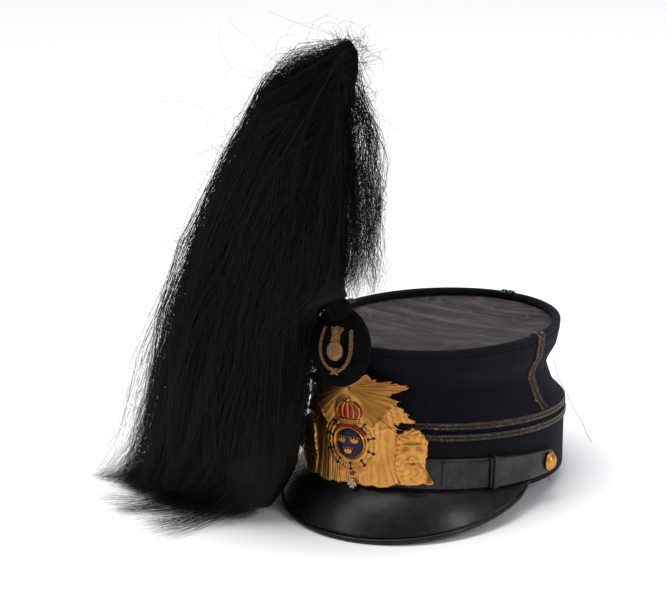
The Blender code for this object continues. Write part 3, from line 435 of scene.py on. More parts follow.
def makeTopLeather():
    leather = {"dark": (0.012, 0.009, 0.011), "mid": (0.034, 0.025, 0.029), "scuff": (0.095, 0.076, 0.083),
               "crease": (0.13, 0.115, 0.12), "scratch": (0.17, 0.15, 0.155)}
    startFinish("worn_top_leather", leather["mid"], 0.6, sockets={"Specular IOR Level": 0.2})
    streaks = noise((14, 95, 40), 6, 0.62, 0.6)
    blots = noise(34, 5, 0.6, 0.4)
    cracks = addNode("ShaderNodeTexVoronoi", {"Vector": stretched((38, 85, 60)), "Scale": 1.0, "Randomness": 1.0},
                     feature="DISTANCE_TO_EDGE").outputs["Distance"]
    creased = ramp(cracks, (0.0, 1), (0.035, 0))
    tone = ramp(reckon("ADD", times(streaks, 0.6), times(blots, 0.4)),
                (0.36, leather["dark"]), (0.50, leather["mid"]), (0.66, leather["scuff"]))
    tone = blend(times(creased, 0.28), tone, leather["crease"])
    scratches = ramp(noise((20, 900, 300), 2, turn=(0, 0, 0.3)), (0.70, 0), (0.74, 1))
    tone = blend(times(scratches, 0.35), tone, leather["scratch"])
    rough = bump(creased, 0.35, 0.0003, bump(noise(1100, 3), 0.35, 0.0002))
    dress(tone, bump(streaks, 0.5, 0.0010, rough), span(blots, 0.42, 0.72))


def makeBraidMetal():
    # the braid's colours: tarnish and wear of its own, a near-black painted shade for the groove and edges, and a
    # bright painted glint
    metal = {"tarnish": (0.014, 0.010, 0.008), "seam": (0.012, 0.010, 0.010), "worn": (0.095, 0.064, 0.042),
             "glint": (0.62, 0.47, 0.32), "plaitsPerMetre": 900}
    startFinish("tarnished_braid", metal["tarnish"], 0.5, 0.55)
    strip = addNode("ShaderNodeUVMap", uv_map="strip").outputs["UV"]
    split = addNode("ShaderNodeSeparateXYZ", {"Vector": strip})
    rib = reckon("ABSOLUTE", split.outputs["Y"])
    phase = times(split.outputs["X"], metal["plaitsPerMetre"] * 2 * math.pi)
    lean = times(reckon("ABSOLUTE", reckon("SUBTRACT", rib, 0.5)), 9)
    plait = reckon("SINE", reckon("ADD", phase, lean))
    wear = noise(240, 5, 0.7)
    # painted glints: bright flecks of colour where the worn metal would catch the light
    paintedGlint = ramp(noise(1100, 1), (0.63, 0), (0.69, 1))
    # painted shade: near-black colour in the groove between the two ribs and along the braid's edges
    seam = ramp(rib, (0.0, 0), (0.14, 1), (0.90, 1), (1.0, 0.25))
    tone = ramp(times(span(plait, 0.25, 0.75), wear), (0.10, metal["tarnish"]), (0.46, metal["worn"]))
    tone = blend(times(paintedGlint, wear), tone, metal["glint"])
    rough = bump(plait, 0.7, 0.00025)
    dress(blend(seam, metal["seam"], tone), bump(wear, 0.4, 0.0003, rough), span(wear, 0.62, 0.34))


def makeLeathers():
    shine = {"visorLow": 0.26, "visorHigh": 0.44, "strapLow": 0.34, "strapHigh": 0.56}
    visorTones = {"deep": (0.0026, 0.0025, 0.0022), "haze": (0.0095, 0.0085, 0.0075), "speck": (0.07, 0.05, 0.035)}
    # the strap's lightest colour is painted highlight, laid along its streaks
    strapTones = {"deep": (0.0026, 0.0026, 0.0028), "worn": (0.034, 0.031, 0.030), "streak": (0.050, 0.043, 0.038)}
    startFinish("black_patent_leather", (0.0035, 0.0032, 0.0028), 0.30, sockets={
        "Coat Weight": 0.06, "Coat Roughness": 0.15, "Specular IOR Level": 0.24})
    haze = noise(130, 6, 0.68)
    scratch = noise((60, 60, 1400), 3, turn=(0.9, 0.3, 0.2))
    specks = ramp(noise(420, 2), (0.70, 0), (0.74, 1))
    tone = ramp(haze, (0.35, visorTones["deep"]), (0.8, visorTones["haze"]))
    tone = blend(times(specks, 0.25), tone, visorTones["speck"])
    rough = bump(haze, 0.22, 0.0004, bump(scratch, 0.30, 0.0003))
    dress(tone, bump(noise(45, 3, 0.5), 0.35, 0.0016, rough), span(haze, shine["visorLow"], shine["visorHigh"]))

    startFinish("black_strap_leather", (0.0065, 0.0056, 0.0055), 0.4, sockets={"Specular IOR Level": 0.31})
    grain = addNode("ShaderNodeTexVoronoi", {"Vector": bench["coords"], "Scale": 1300}).outputs["Distance"]
    wear = noise(48, 6, 0.68)
    streak = noise((90, 90, 420), 4, 0.6)
    tone = ramp(wear, (0.40, strapTones["deep"]), (0.68, strapTones["worn"]))
    # painted highlight: lighter streaks where the strap's raised streaks would catch the light
    tone = blend(ramp(streak, (0.64, 0), (0.74, 0.5)), tone, strapTones["streak"])
    dress(tone, bump(streak, 0.35, 0.0006, bump(grain, 0.22, 0.0002)),
          span(wear, shine["strapHigh"], shine["strapLow"]))


def makeMetals():
    gilt = {"bright": (0.66, 0.330, 0.082), "warm": (0.50, 0.215, 0.044), "patina": (0.115, 0.044, 0.011)}
    thread = {"dark": (0.035, 0.014, 0.007), "bright": (0.50, 0.260, 0.095), "stain": (0.16, 0.065, 0.035)}
    steel = {"dark": (0.020, 0.020, 0.021), "rust": (0.075, 0.060, 0.050)}
    startFinish("gilt_brass", gilt["bright"], 0.3, 1.0)
    stain = noise(75, 5, 0.6)
    fine = noise(900, 4, 0.6)
    hollow = addNode("ShaderNodeAttribute", attribute_name="hollow").outputs["Fac"]
    dirt = times(hollow, span(fine, 0.65, 1.1), clamp=True)
    tone = blend(dirt, ramp(stain, (0.34, gilt["warm"]), (0.62, gilt["bright"])), gilt["patina"])
    dress(tone, bump(fine, 0.12, 0.0002), span(stain, 0.29, 0.45))

    startFinish("gold_thread", (0.36, 0.17, 0.065), 0.45, 0.75)
    strands = noise((1600, 1600, 4200), 2, turn=(0.4, 0, 0))
    stain = noise(260, 4)
    tone = ramp(strands, (0.40, thread["dark"]), (0.62, thread["bright"]))
    tone = blend(ramp(stain, (0.45, 0), (0.68, 0.7)), tone, thread["stain"])
    dress(tone, bump(strands, 0.8, 0.0003), span(stain, 0.34, 0.58))

    startFinish("blackened_steel", (0.03, 0.03, 0.03), 0.5, 0.8)
    rust = noise(160, 5, 0.65)
    dress(ramp(rust, (0.40, steel["dark"]), (0.72, steel["rust"])), bump(rust, 0.3, 0.0004),
          span(rust, 0.40, 0.65))


def makeEnamels():
    tones = {
        "blue_enamel": ((0.0014, 0.0012, 0.008), (0.0090, 0.0050, 0.060)),
        "red_enamel": ((0.120, 0.006, 0.004), (0.420, 0.022, 0.010)),
        "white_enamel": ((0.42, 0.34, 0.22), (0.70, 0.62, 0.48)),
    }
    for name, (deep, clear) in tones.items():
        startFinish(name, clear, 0.3, sockets={"Specular IOR Level": 0.22})
        swirl = noise(260, 4, 0.6, 0.8)
        dress(ramp(swirl, (0.34, deep), (0.68, clear)), bump(swirl, 0.15, 0.0004), span(noise(1500, 2), 0.16, 0.34))


def makeVelvetAndHair():
    pile = {"deep": (0.0016, 0.0016, 0.0014), "tips": (0.0046, 0.0044, 0.0038)}
    hair = {"root": (0.0008, 0.0008, 0.0007), "black": (0.0045, 0.0041, 0.0034), "brown": (0.026, 0.016, 0.011),
            "tan": (0.055, 0.034, 0.022), "dust": (0.022, 0.020, 0.019)}
    startFinish("black_velvet", pile["deep"], 0.95, sockets={
        "Sheen Weight": 0.03, "Sheen Roughness": 0.3, "Sheen Tint": (0.16, 0.16, 0.15),
        "Specular IOR Level": 0.04})
    crush = noise(150, 3)
    rough = bump(noise(1300, 4, 0.75), 0.9, 0.0005)
    dress(ramp(crush, (0.35, pile["deep"]), (0.72, pile["tips"])), bump(crush, 0.3, 0.0008, rough))

    startFinish("black_horsehair", (0.0036, 0.0034, 0.0032), 0.42, sockets={"Specular IOR Level": 0.12})
    tone = addNode("ShaderNodeAttribute", attribute_name="tone").outputs["Fac"]
    shade = ramp(tone, (0.0, hair["root"]), (0.75, hair["black"]), (0.95, hair["brown"]), (1.0, hair["tan"]))
    shade = blend(ramp(noise(60, 3), (0.62, 0), (0.85, 0.22)), shade, hair["dust"])
    streak = noise((1500, 1500, 55), 4, 0.65)
    dress(shade, bump(streak, 0.5, 0.0006), span(streak, 0.32, 0.52))


placeCamera()
makeWool()
makeTopLeather()
makeBraidMetal()
makeLeathers()
makeMetals()
makeEnamels()
makeVelvetAndHair()
print("finishes mixed:", len(finishes))


# ---- the cloth walls
def makeBand():
    band = {"around": 200, "rows": 12, "roll": 0.0006}
    angle, height = np.meshgrid(turns(band["around"]), np.linspace(0, oval["bandHeight"], band["rows"]))
    table = bandSpot(angle, 0.0, height)
    obj = wrapTube("woolBand", table)
    thicken(obj, oval["wall"], roll=band["roll"])
    settle(obj, "midnight_wool", ["band"])


def makeCrown():
    crown = {"around": 216, "rows": 34, "roll": 0.0005, "unevenness": 0.00022, "underWelt": 1.014}
    angle, share = np.meshgrid(turns(crown["around"]), np.linspace(0, crown["underWelt"], crown["rows"]))
    flat = crownSpot(angle, share).reshape(-1, 3)
    calm = np.sin(np.clip(share.ravel(), 0, 1) * math.pi)
    out = crown["unevenness"] * ripple(flat, 75, 11) * calm
    obj = wrapTube("woolCrown", crownSpot(angle, share, out.reshape(angle.shape)))
    thicken(obj, oval["wall"], roll=crown["roll"])
    settle(obj, "midnight_wool", ["crown_side"])


def makeWelt():
    welt = {"around": 240, "sides": 20}
    angle, swing = np.meshgrid(turns(welt["around"]), turns(welt["sides"]), indexing="ij")
    settle(wrapRing("rolledWelt", weltSection(angle, -np.cos(swing), np.sin(swing))), "midnight_wool", ["top_welt"])


def facesUp(obj):
    return sum(face.normal.z for face in obj.data.polygons) > 0


def makeSunkenTop():
    top = {"around": 180, "rings": 32, "sag": 0.0030, "wall": 0.0016, "creases": 0.00040,
           "creaseStretch": (0.35, 1.3, 1.0)}
    inset = oval["wall"] + oval["gap"]
    angle, share = np.meshgrid(turns(top["around"]), np.linspace(1, 0, top["rings"]))
    edge = crownSpot(angle, crownShare(angle, wallTop(angle)), -inset)
    middle = np.array([0.0, oval["topShift"],
                       oval["topHeight"] + oval["slope"] * oval["topShift"] - oval["weltHeight"] - top["sag"]])
    table = middle + (edge - middle) * share[..., None]
    table[..., 2] = middle[2] + (edge[..., 2] - middle[2]) * share**2
    dents = ripple(table.reshape(-1, 3) * top["creaseStretch"], 90, 23, 4) * (1 - share.ravel() ** 6)
    table[..., 2] += top["creases"] * dents.reshape(share.shape)
    obj = wrapTube("sunkenTop", table)
    thicken(obj, top["wall"], -1 if facesUp(obj) else 1)
    settle(obj, "worn_top_leather", ["top_disc"])


# ---- metal braid
braid = {"width": 0.0042, "wall": 0.0011, "pitch": 0.0054, "lower": 0.0361, "upper": 0.0432, "sides": 16,
         "around": 360, "rows": 70}


def braidSection(sides):
    # across from -1 to 1 and the height over the cloth, two rounded ribs with a groove between
    swing = turns(sides)
    across = np.cos(swing)
    rib = np.sqrt(np.clip(1 - (2 * np.abs(across) - 1) ** 2, 0, 1))
    out = np.where(np.sin(swing) >= 0, 0.35 + 0.65 * rib, 0.0) * braid["wall"]
    return across, out


def makeRingBraids():
    middle = (oval["bandWidth"] + oval["bandLength"]) / 2
    across, out = braidSection(braid["sides"])
    angle = turns(braid["around"])[:, None] + 0 * across
    lift = oval["gap"] * 0.5 + out + 0 * angle
    half = across * braid["width"] / 2
    lower = bandSpot(angle, lift, braid["lower"] + half)
    upper = crownSpot(angle, crownShare(angle, braid["upper"] + half), lift)
    for place, table in (("lower", lower), ("upper", upper)):
        obj = wrapRing(f"braid{place.title()}Ring", table, angle * middle, across + 0 * angle, 2 * math.pi * middle)
        settle(obj, "tarnished_braid", [f"braid_{place}"])


def facePath(angle, count):
    # even steps up the outside of the crown from the upper braid, then over the welt
    first = crownShare(angle, braid["upper"] + braid["width"] / 2 + oval["gap"])
    shares = np.linspace(float(first), 1, 60)
    wall = crownSpot(angle + 0 * shares, shares)
    swing = np.linspace(math.pi * 0.98, math.pi * 0.12, 30)
    over = weltSection(angle + 0 * swing, np.cos(swing), np.sin(swing))
    return evenSteps(np.concatenate([wall[:-1], over]), count)


def makeSideBraids():
    rows = braid["rows"]
    across, out = braidSection(braid["sides"])
    places = {"left": math.pi / 2, "right": -math.pi / 2, "back": math.pi}
    for place, angle in places.items():
        nudge = 0.01
        step = facePath(angle + nudge, rows)[0] - facePath(angle - nudge, rows)[0]
        perMetre = 2 * nudge / np.linalg.norm(step[0])
        for strand, offset in (("a", -braid["pitch"] / 2), ("b", braid["pitch"] / 2)):
            edges = [facePath(angle + (offset + lateral) * perMetre, rows)[0]
                     for lateral in (-braid["width"] / 2, braid["width"] / 2)]
            run = facePath(angle + offset * perMetre, rows)[1]
            middle = (edges[0] + edges[1]) / 2
            along = np.gradient(middle, axis=0)
            normal = np.cross(edges[1] - edges[0], along)
            normal /= np.linalg.norm(normal, axis=1)[:, None]
            share = (across + 1)[None, :, None] / 2
            table = edges[0][:, None] * (1 - share) + edges[1][:, None] * share
            table = table + normal[:, None] * (oval["gap"] * 0.5 + out)[None, :, None]
            name = "sideBraid" + place.title() + strand.upper()
            obj = wrapTube(name, table, True, run[:, None] + 0 * across, across + 0 * run[:, None])
            settle(obj, "tarnished_braid", [f"side_braid_{place}_{strand}"])


# ---- visor
visor = {
    "depth": 0.0324, "slope": math.radians(55.5), "span": math.radians(80), "fullness": 0.92,
    "end": 0.0038, "top": 0.0031, "wall": 0.0024, "bulge": 0.0016, "bead": 0.0016, "roll": 0.0004,
    "waves": 0.00025, "columns": 161, "rows": 26, "beadSides": 14,
}


def visorFade(angle):
    return np.clip((visor["span"] - np.abs(angle)) / 0.16, 0.12, 1) ** 0.7


def visorTop(angle, share):
    full = np.maximum(np.cos(angle / visor["span"] * math.pi / 2), 0.0) ** visor["fullness"]
    reach = np.maximum(visor["depth"] * full, visor["end"] * visorFade(angle))
    bulge = visor["bulge"] * np.sin(math.pi * share) * reach / visor["depth"]
    cosine, sine = math.cos(visor["slope"]), math.sin(visor["slope"])
    outward = oval["gap"] + reach * share * cosine + bulge * sine
    return outward, visor["top"] - reach * share * sine + bulge * cosine


def makeVisor():
    across = np.linspace(-visor["span"], visor["span"], visor["columns"])
    angle, share = np.meshgrid(across, np.linspace(0, 1, visor["rows"]))
    table = bandSpot(angle, *visorTop(angle, share))
    wave = ripple(table.reshape(-1, 3), 60, 31, 2) * visor["waves"] * np.sin(math.pi * share.ravel())
    table[..., 2] += wave.reshape(share.shape)
    obj = wrapStrip("visorShell", table)
    thicken(obj, visor["wall"], -1 if facesUp(obj) else 1, visor["roll"])
    points = readPoints(obj)  # the back face never dips into the band
    facing = np.arctan2(points[:, 0] / oval["bandWidth"], -points[:, 1] / oval["bandLength"])
    limit = bandSpot(facing, oval["gap"], points[:, 2])
    inside = np.hypot(points[:, 0], points[:, 1]) < np.hypot(limit[:, 0], limit[:, 1])
    points[inside, :2] = limit[inside, :2]
    writePoints(obj, points)
    settle(obj, "black_patent_leather", ["visor"])

    # a bead along the visor's edge
    angle, swing = np.meshgrid(across, turns(visor["beadSides"]), indexing="ij")
    out, up = visorTop(angle, 1.0)
    cosine, sine = math.cos(visor["slope"]), math.sin(visor["slope"])
    thick = visor["bead"] * visorFade(angle)
    away = oval["gap"] + thick
    out = out - visor["wall"] / 2 * sine + away * cosine + thick * np.cos(swing)
    up = up - visor["wall"] / 2 * cosine - away * sine + thick * np.sin(swing)
    settle(wrapTube("visorBead", bandSpot(angle, out, up), True), "black_patent_leather", ["visor_edge"])


# ---- chin strap, slides and buttons
strap = {
    "height": 0.0143, "drop": 0.0014, "half": 0.0092, "endHalf": 0.0070, "wall": 0.0016,
    "span": math.radians(94), "wingStart": math.radians(57), "slideStart": math.radians(58.5),
    "slideSpan": math.radians(1.8), "slideWall": 0.0009, "slideSquare": 0.28, "slideBack": 0.2,
    "tongueStart": math.radians(37), "tongueWall": 0.0006, "roll": 0.00035, "creases": 0.00012,
}


def strapMiddle(angle):
    return strap["height"] - strap["drop"] * (angle / strap["span"]) ** 2


def strapHalf(angle):
    taper = np.maximum(np.abs(angle) - strap["wingStart"], 0) / (strap["span"] - strap["wingStart"])
    return strap["half"] + (strap["endHalf"] - strap["half"]) * taper


def layStrap(name, start, end, inner, nodes, roundEnd=False, wall=strap["wall"], narrow=1.0):
    columns = max(int(abs(end - start) * 60), 40)
    angle, side = np.meshgrid(np.linspace(start, end, columns), np.linspace(-1, 1, 12))
    half = strapHalf(angle) * narrow
    if roundEnd:
        fromEnd = np.abs(end - angle) * oval["bandLength"]
        ease = np.minimum(fromEnd / half, 1.0)
        half = half * np.maximum(np.sqrt(1 - (1 - ease) ** 2), 0.05)
    places = np.stack([angle.ravel() * 0.1, side.ravel() * 0.01, 0 * side.ravel()], 1)
    crease = strap["creases"] * ripple(places, 220, 5).reshape(angle.shape)
    obj = wrapStrip(name, bandSpot(angle, inner + crease, strapMiddle(angle) + side * half))
    face = obj.data.polygons[len(obj.data.polygons) // 2]
    outwards = face.normal.to_2d().dot(face.center.to_2d()) > 0
    thicken(obj, wall, 1 if outwards else -1, strap["roll"])
    settle(obj, "black_strap_leather", nodes)


def makeSlide(name, sign, node):
    # a flat tube round both layers, its long edges rounded over
    outer = oval["gap"] * 3 + strap["wall"] * 2 + strap["slideWall"]
    start, back = strap["slideStart"] - math.radians(0.2), strap["slideBack"]
    angle = sign * np.linspace(start, strap["slideStart"] + strap["slideSpan"], 5)
    middle, half = strapMiddle(angle), strapHalf(angle) + oval["gap"] + strap["slideWall"]
    swing = turns(24)
    across = squared(np.sin(swing), strap["slideSquare"])
    lift = np.maximum(-squared(np.cos(swing), strap["slideSquare"]), -back)
    out = oval["gap"] + (outer - oval["gap"]) * (lift + back) / (1 + back)
    table = bandSpot(angle[:, None] + 0 * swing, out[None, :] + 0 * angle[:, None],
                     middle[:, None] + half[:, None] * across[None, :])
    settle(wrapTube(name, table, True), "black_strap_leather", [node], smooth=50)


def makeButton(name, sign, node):
    button = {"radius": 0.0060, "height": 0.0046, "angle": math.radians(89), "around": 40}
    profile = np.array([
        (0.0, 0.0), (0.80, 0.0), (0.95, 0.05), (1.0, 0.14), (1.0, 0.26), (0.955, 0.36), (0.90, 0.37),
        (0.865, 0.43), (0.82, 0.56), (0.72, 0.71), (0.58, 0.84), (0.40, 0.93), (0.20, 0.985), (0.0, 1.0)])
    angle = sign * button["angle"]
    seat = bandSpot(angle, oval["gap"] * 3 + strap["wall"] * 2, float(strapMiddle(angle)))
    far, base = (np.array(ovalSpot(oval["bandWidth"], oval["bandLength"], angle, away)) for away in (1.0, 0.0))
    normal = np.array([*(far - base), 0.0])
    side = np.array([-normal[1], normal[0], 0.0])
    turn = turns(button["around"])
    table = (seat + profile[:, 1, None, None] * button["height"] * normal
             + profile[:, 0, None, None] * button["radius"]
             * (np.cos(turn)[:, None] * side + np.sin(turn)[:, None] * np.array([0, 0, 1.0])))
    settle(wrapTube(name, table), "gilt_brass", [node])


def makeStraps():
    end = strap["span"] - math.radians(3)
    gap = oval["gap"]
    layStrap("chinStrap", -end, end, gap, ["chin_strap"])
    for side, sign in (("left", 1), ("right", -1)):
        title = side.title()
        layStrap("strapWing" + title, sign * strap["wingStart"], sign * strap["span"],
                 gap * 2 + strap["wall"], [f"strap_wing_{side}"], roundEnd=True)
        layStrap("strapTongue" + title, sign * strap["tongueStart"], sign * (strap["wingStart"] - 0.004),
                 gap * 2 + strap["wall"], [], wall=strap["tongueWall"], narrow=0.80)
        makeSlide("strapSlide" + title, sign, f"strap_slide_{side}")
        makeButton("strapButton" + title, sign, f"button_{side}")


makeBand()
makeCrown()
makeWelt()
makeSunkenTop()
makeRingBraids()
makeSideBraids()
makeVisor()
makeStraps()


# ---- the sunburst plate and what lies on it
plate = {
    "centre": 0.0330, "shift": -0.0030, "roll": math.radians(4.5), "standoff": 0.0025, "lean": 0.12,
    "wall": 0.0010, "fanX": -0.0007, "fanY": 0.0310, "ribDegrees": 1.72, "maskUp": -8.0,
}
arcAngles = np.linspace(-math.pi / 2, math.pi / 2, 721)
arcPoints = bandSpot(arcAngles, plate["standoff"], 0.0)
arcLengths = np.concatenate([[0], np.cumsum(np.linalg.norm(np.diff(arcPoints, axis=0), axis=1))])
arcLengths = arcLengths - np.interp(0, arcAngles, arcLengths)


def plateSpot(across, up, rise):
    # a place on the plate's curved face, the rise counted from its back
    cosine, sine = math.cos(plate["roll"]), math.sin(plate["roll"])
    run = across * cosine - up * sine + plate["shift"]
    height = across * sine + up * cosine + plate["centre"]
    angle = np.interp(run, arcLengths, arcAngles)
    return bandSpot(angle, plate["standoff"] + plate["lean"] * height + rise, height)


def layOnPlate(obj):
    # drawn flat, x across, y up and z off the plate, then bent round it
    points = readPoints(obj)
    writePoints(obj, plateSpot(points[:, 0], points[:, 1], points[:, 2]))
    return obj


# the right half of the rays' outline round the fan's root: degrees from level, millimetres
rayEdge = np.array([
    (-90, 60.2), (-84.3, 60.8), (-81.2, 62.3), (-77.3, 62.1), (-74.1, 64.3), (-69.2, 65.5), (-64, 65.5),
    (-58.5, 64.0), (-49.8, 53.7), (-42.6, 45.8), (-41.8, 40.1), (-40.7, 37.4), (-38.6, 38.3), (-37.7, 35.3),
    (-35.3, 36.7), (-31.0, 38.2), (-29.9, 39.5), (-28.1, 44.1), (-25.4, 44.3), (-25.0, 39.5), (-22.1, 39.8),
    (-21.4, 35.6), (-18.9, 35.8), (-18.0, 32.1), (-16.8, 29.8), (-12.6, 31.9), (-11.8, 32.1), (-11.2, 27.8),
    (-9.2, 25.5), (-6.0, 26.6), (-2.5, 29.4), (-0.7, 32.5), (1.8, 35.9), (5.5, 36.4), (5.9, 31.5),
    (8.3, 30.4), (8.7, 27.6), (12.1, 27.1), (12.6, 19.6), (15.1, 18.7), (19.4, 19.8), (20.0, 16.6),
    (34.9, 15.7), (36, 13.5), (60, 13.0), (90, 13.0)])
# the mask's outline round its middle
maskEdge = np.array([
    (-180, 9.8), (-156, 11.2), (-131, 16.5), (-115, 22.0), (-104, 21.2), (-96, 21.7), (-88, 20.6),
    (-81.5, 21.2), (-73, 20.8), (-66, 22.4), (-60, 23.6), (-56.5, 22.6), (-54.5, 16.5), (-53.0, 13.0),
    (-46, 11.0), (-33, 9.6), (-23.6, 8.7), (-10, 9.3), (0, 8.7), (14.6, 9.4), (28, 10.0), (36, 11.6),
    (43, 12.1), (50, 12.2), (59, 13.7), (66, 13.8), (73.7, 15.3), (81, 15.2), (89.3, 16.4), (98, 15.0),
    (107.7, 15.3), (116, 14.2), (124, 14.9), (140, 12.4), (160, 9.8), (180, 9.8)])


def ridge(value, sharp=1.0):
    # a row of rounded ribs, one for each whole number
    return np.abs(np.sin(value * math.pi)) ** sharp


def rayRelief(across, up):
    # heights of the beaten relief over the plate's wall, in millimetres, over places in millimetres
    hem = {"up": 6.9, "across": 15.5, "slope": 1.20, "inner": 9, "outer": 27.5, "skirt": -13}
    field = {"up": -4.0, "reach": 19.0, "leaves": 17, "crownUp": 15.8, "crownReach": 11.5}
    dx, dy = np.abs(across - plate["fanX"] * 1000), up - plate["fanY"] * 1000
    turn = np.degrees(np.arctan2(dy, dx))
    reach = np.hypot(dx, dy)
    beams = turn / 8.6 + 0.22 * np.sin(turn / 13)
    beam = 1 - np.abs((beams % 1) * 2 - 1)
    fine = ridge(turn / plate["ribDegrees"], 0.9)
    rays = 0.15 + 0.50 * beam * np.clip(reach / 24, 0.15, 1) + 0.0155 * fine * np.clip(reach - 2, 0, 34)
    # the mantle hangs below a slanting hem and falls in folds
    under = hem["up"] + (dx - hem["across"]) * hem["slope"] - up
    below = np.maximum(fade(under, 0.9) * fade(dx - hem["inner"], 3), fade(hem["skirt"] - up, 3))
    sway = dx + 0.0035 * (up + 8) * np.abs(up + 8) * np.clip(dx / 20, 0, 1.2) + 1.1 * np.sin(up / 6 + dx / 9)
    folds = 0.30 + 0.50 * ridge(sway / 4.1, 0.8) * (0.55 + 0.45 * np.sin(dx * 0.7 + up * 0.15))
    folds = folds + 0.36 * ridge(sway / 1.3 + 0.25 * np.sin(up / 4), 0.9) * np.clip((4 - up) / 14, 0.25, 1)
    rim = np.exp(-((under - 0.2) / 0.75) ** 2) * fade(dx - 12, 2) * fade(hem["outer"] - dx)
    gather = np.exp(-((up - 4.3 - (dx - 16.9) * 0.36) / 0.55) ** 2)
    gather = gather * fade(dx - hem["across"]) * fade(hem["outer"] - dx)
    height = rays * (1 - below) + folds * below + 0.65 * rim + 0.40 * gather
    # a calm oval field round the medallion, with small leaves between the pins, and one under the crown
    ring, around = np.hypot(dx, up - field["up"]), np.degrees(np.arctan2(up - field["up"], dx))
    collar = fade(field["reach"] - ring, 2)
    leaf = 0.25 + 0.30 * ridge(around / 7.5, 1.2) * fade(field["leaves"] - ring, 2)
    height = height * (1 - collar) + (leaf + 0.25 * np.cos(ring * 2.2)) * collar
    crownField = fade(field["crownReach"] - np.hypot(dx, up - field["crownUp"]), 1.5)
    return height * (1 - crownField) + 0.15 * crownField


def maskRelief(x, y, side):
    # a lion's mask of this script's own drawing, x and y in millimetres from its middle
    x = x * side
    reach = np.hypot(x / 0.86, y)
    turn = np.arctan2(y, x)
    body = 2.5 * np.sqrt(np.clip(1 - (x / 11.5) ** 2 - ((y + 2.5) / 22.5) ** 2, 0, 1))
    curl = ridge((turn + 0.10 * np.sin(reach * 0.9) + 0.03 * reach) * 9 / math.pi, 0.8)
    mane = fade(reach - 8.2, 1.8)
    height = body + 0.34 * curl * mane + 0.10 * ridge(reach / 2.7 + curl * 0.4) * mane

    def puff(cx, cy, rx, ry, rise):
        # a soft swelling on both sides of the face: where, how wide and high, and how far it rises
        return rise * np.exp(-(((np.abs(x) / 1.35 - cx) / rx) ** 2 + (((y - 0.8) / 1.4 - cy) / ry) ** 2))

    features = (
        puff(0, 1.2, 1.15, 3.4, 0.95)        # bridge of the nose
        + puff(0, -2.0, 1.5, 0.9, 0.75)      # nose pad
        + puff(1.6, -3.7, 1.5, 1.2, 0.95)    # muzzle
        + puff(0, -6.0, 1.5, 1.0, 0.75)      # chin
        + puff(2.7, 3.3, 1.9, 0.65, 0.80)    # brows
        - puff(2.6, 1.9, 1.15, 0.65, 0.75)   # eye hollows
        + puff(2.6, 1.8, 0.55, 0.35, 0.55)   # eyes
        + puff(3.9, -0.7, 1.3, 1.2, 0.40)    # cheeks
        - puff(0, -4.9, 2.4, 0.28, 0.70)     # mouth
        - puff(0, -3.4, 0.22, 0.9, 0.40)     # cleft under the nose
    )
    ears = puff(5.4, 6.6, 1.3, 1.3, 0.9) - puff(5.4, 6.5, 0.6, 0.6, 0.8)
    return height + 0.75 * features * fade(1.15 - mane) + ears


def reliefPiece(name, edge, centre, rings, around, relief):
    # rings from the middle to the edge in relief, then the plain back to the middle again, in millimetres
    turn = np.pi - turns(around)
    degrees = np.degrees(np.arctan2(np.sin(turn), np.cos(turn)))
    radius = np.interp(degrees, edge[:, 0], edge[:, 1])
    front = 1 - (1 - np.linspace(0, 1, rings)) ** 1.15
    back = np.array([1.0, 0.7, 0.35, 0.0])
    share = np.concatenate([front, back])[:, None]
    x = centre[0] + radius * share * np.cos(turn)
    y = centre[1] + radius * share * np.sin(turn)
    # the relief runs out towards the edge, and its hollows are marked for the dirt in them
    toEdge = (1 - front[:, None]) * radius
    height = np.minimum(relief(x[:rings], y[:rings]), 0.15 + toEdge * 2.2)
    soft = height.copy()
    for _ in range(5):
        soft = (soft + np.roll(soft, 2, 1) + np.roll(soft, -2, 1)) / 3
        soft[1:-1] = (soft[1:-1] + soft[:-2] + soft[2:]) / 3
    flat = np.zeros((len(back), around))
    rise = np.concatenate([plate["wall"] + height / 1000, flat])
    hollow = np.concatenate([np.clip((soft - height) * 2.3 + 0.10, 0, 1), flat + 0.5])
    return wrapTube(name, np.stack([x / 1000, y / 1000, rise], -1), marks={"hollow": hollow}, merged=False)


def mirrored(edge):
    # an outline by degrees from level, turned over from right to left
    edge = edge.copy()
    edge[:, 0] = np.where(edge[:, 0] >= 0, 180 - edge[:, 0], -180 - edge[:, 0])
    return edge[np.argsort(edge[:, 0], kind="stable")]


def burstEdge():
    # both halves of the rays' outline, with the ends of the fine ribs stepping in and out
    left = np.stack([180 - rayEdge[::-1, 0], rayEdge[::-1, 1]], 1)
    whole = np.concatenate([rayEdge, left[1:]])
    whole[:, 0] = np.where(whole[:, 0] > 180, whole[:, 0] - 360, whole[:, 0])
    whole = whole[np.argsort(whole[:, 0], kind="stable")]
    degrees = np.arange(-180, 180.01, 0.25)
    edge = np.interp(degrees, whole[:, 0], whole[:, 1], period=360)
    level = np.minimum(np.abs(degrees), 180 - np.abs(degrees))
    rib = level / plate["ribDegrees"]
    toothed = (edge > 22) & (level < 42)
    edge = edge + np.where(toothed, 1.1 * ((rib % 1) - 0.5) + 0.8 * np.sin(np.floor(rib) * 2.3), 0)
    return np.column_stack([degrees, edge])


def makeSunburst():
    root = (plate["fanX"] * 1000, plate["fanY"] * 1000)
    parts = [reliefPiece("sunburst", burstEdge(), root, 56, 936, rayRelief)]
    for side, across, edge in ((1, 37.5, maskEdge), (-1, -38.2, mirrored(maskEdge))):
        parts.append(reliefPiece(
            "lionMask", edge, (across, plate["maskUp"]), 36, 240,
            lambda x, y, across=across, side=side: maskRelief(x - across, y - plate["maskUp"], side)))
    obj = joinAll("sunburstPlate", parts)
    mergeDoubles(obj, 1e-8)
    layOnPlate(obj)
    settle(obj, "gilt_brass", ["sunburst_plate"], smooth=60)


makeSunburst()


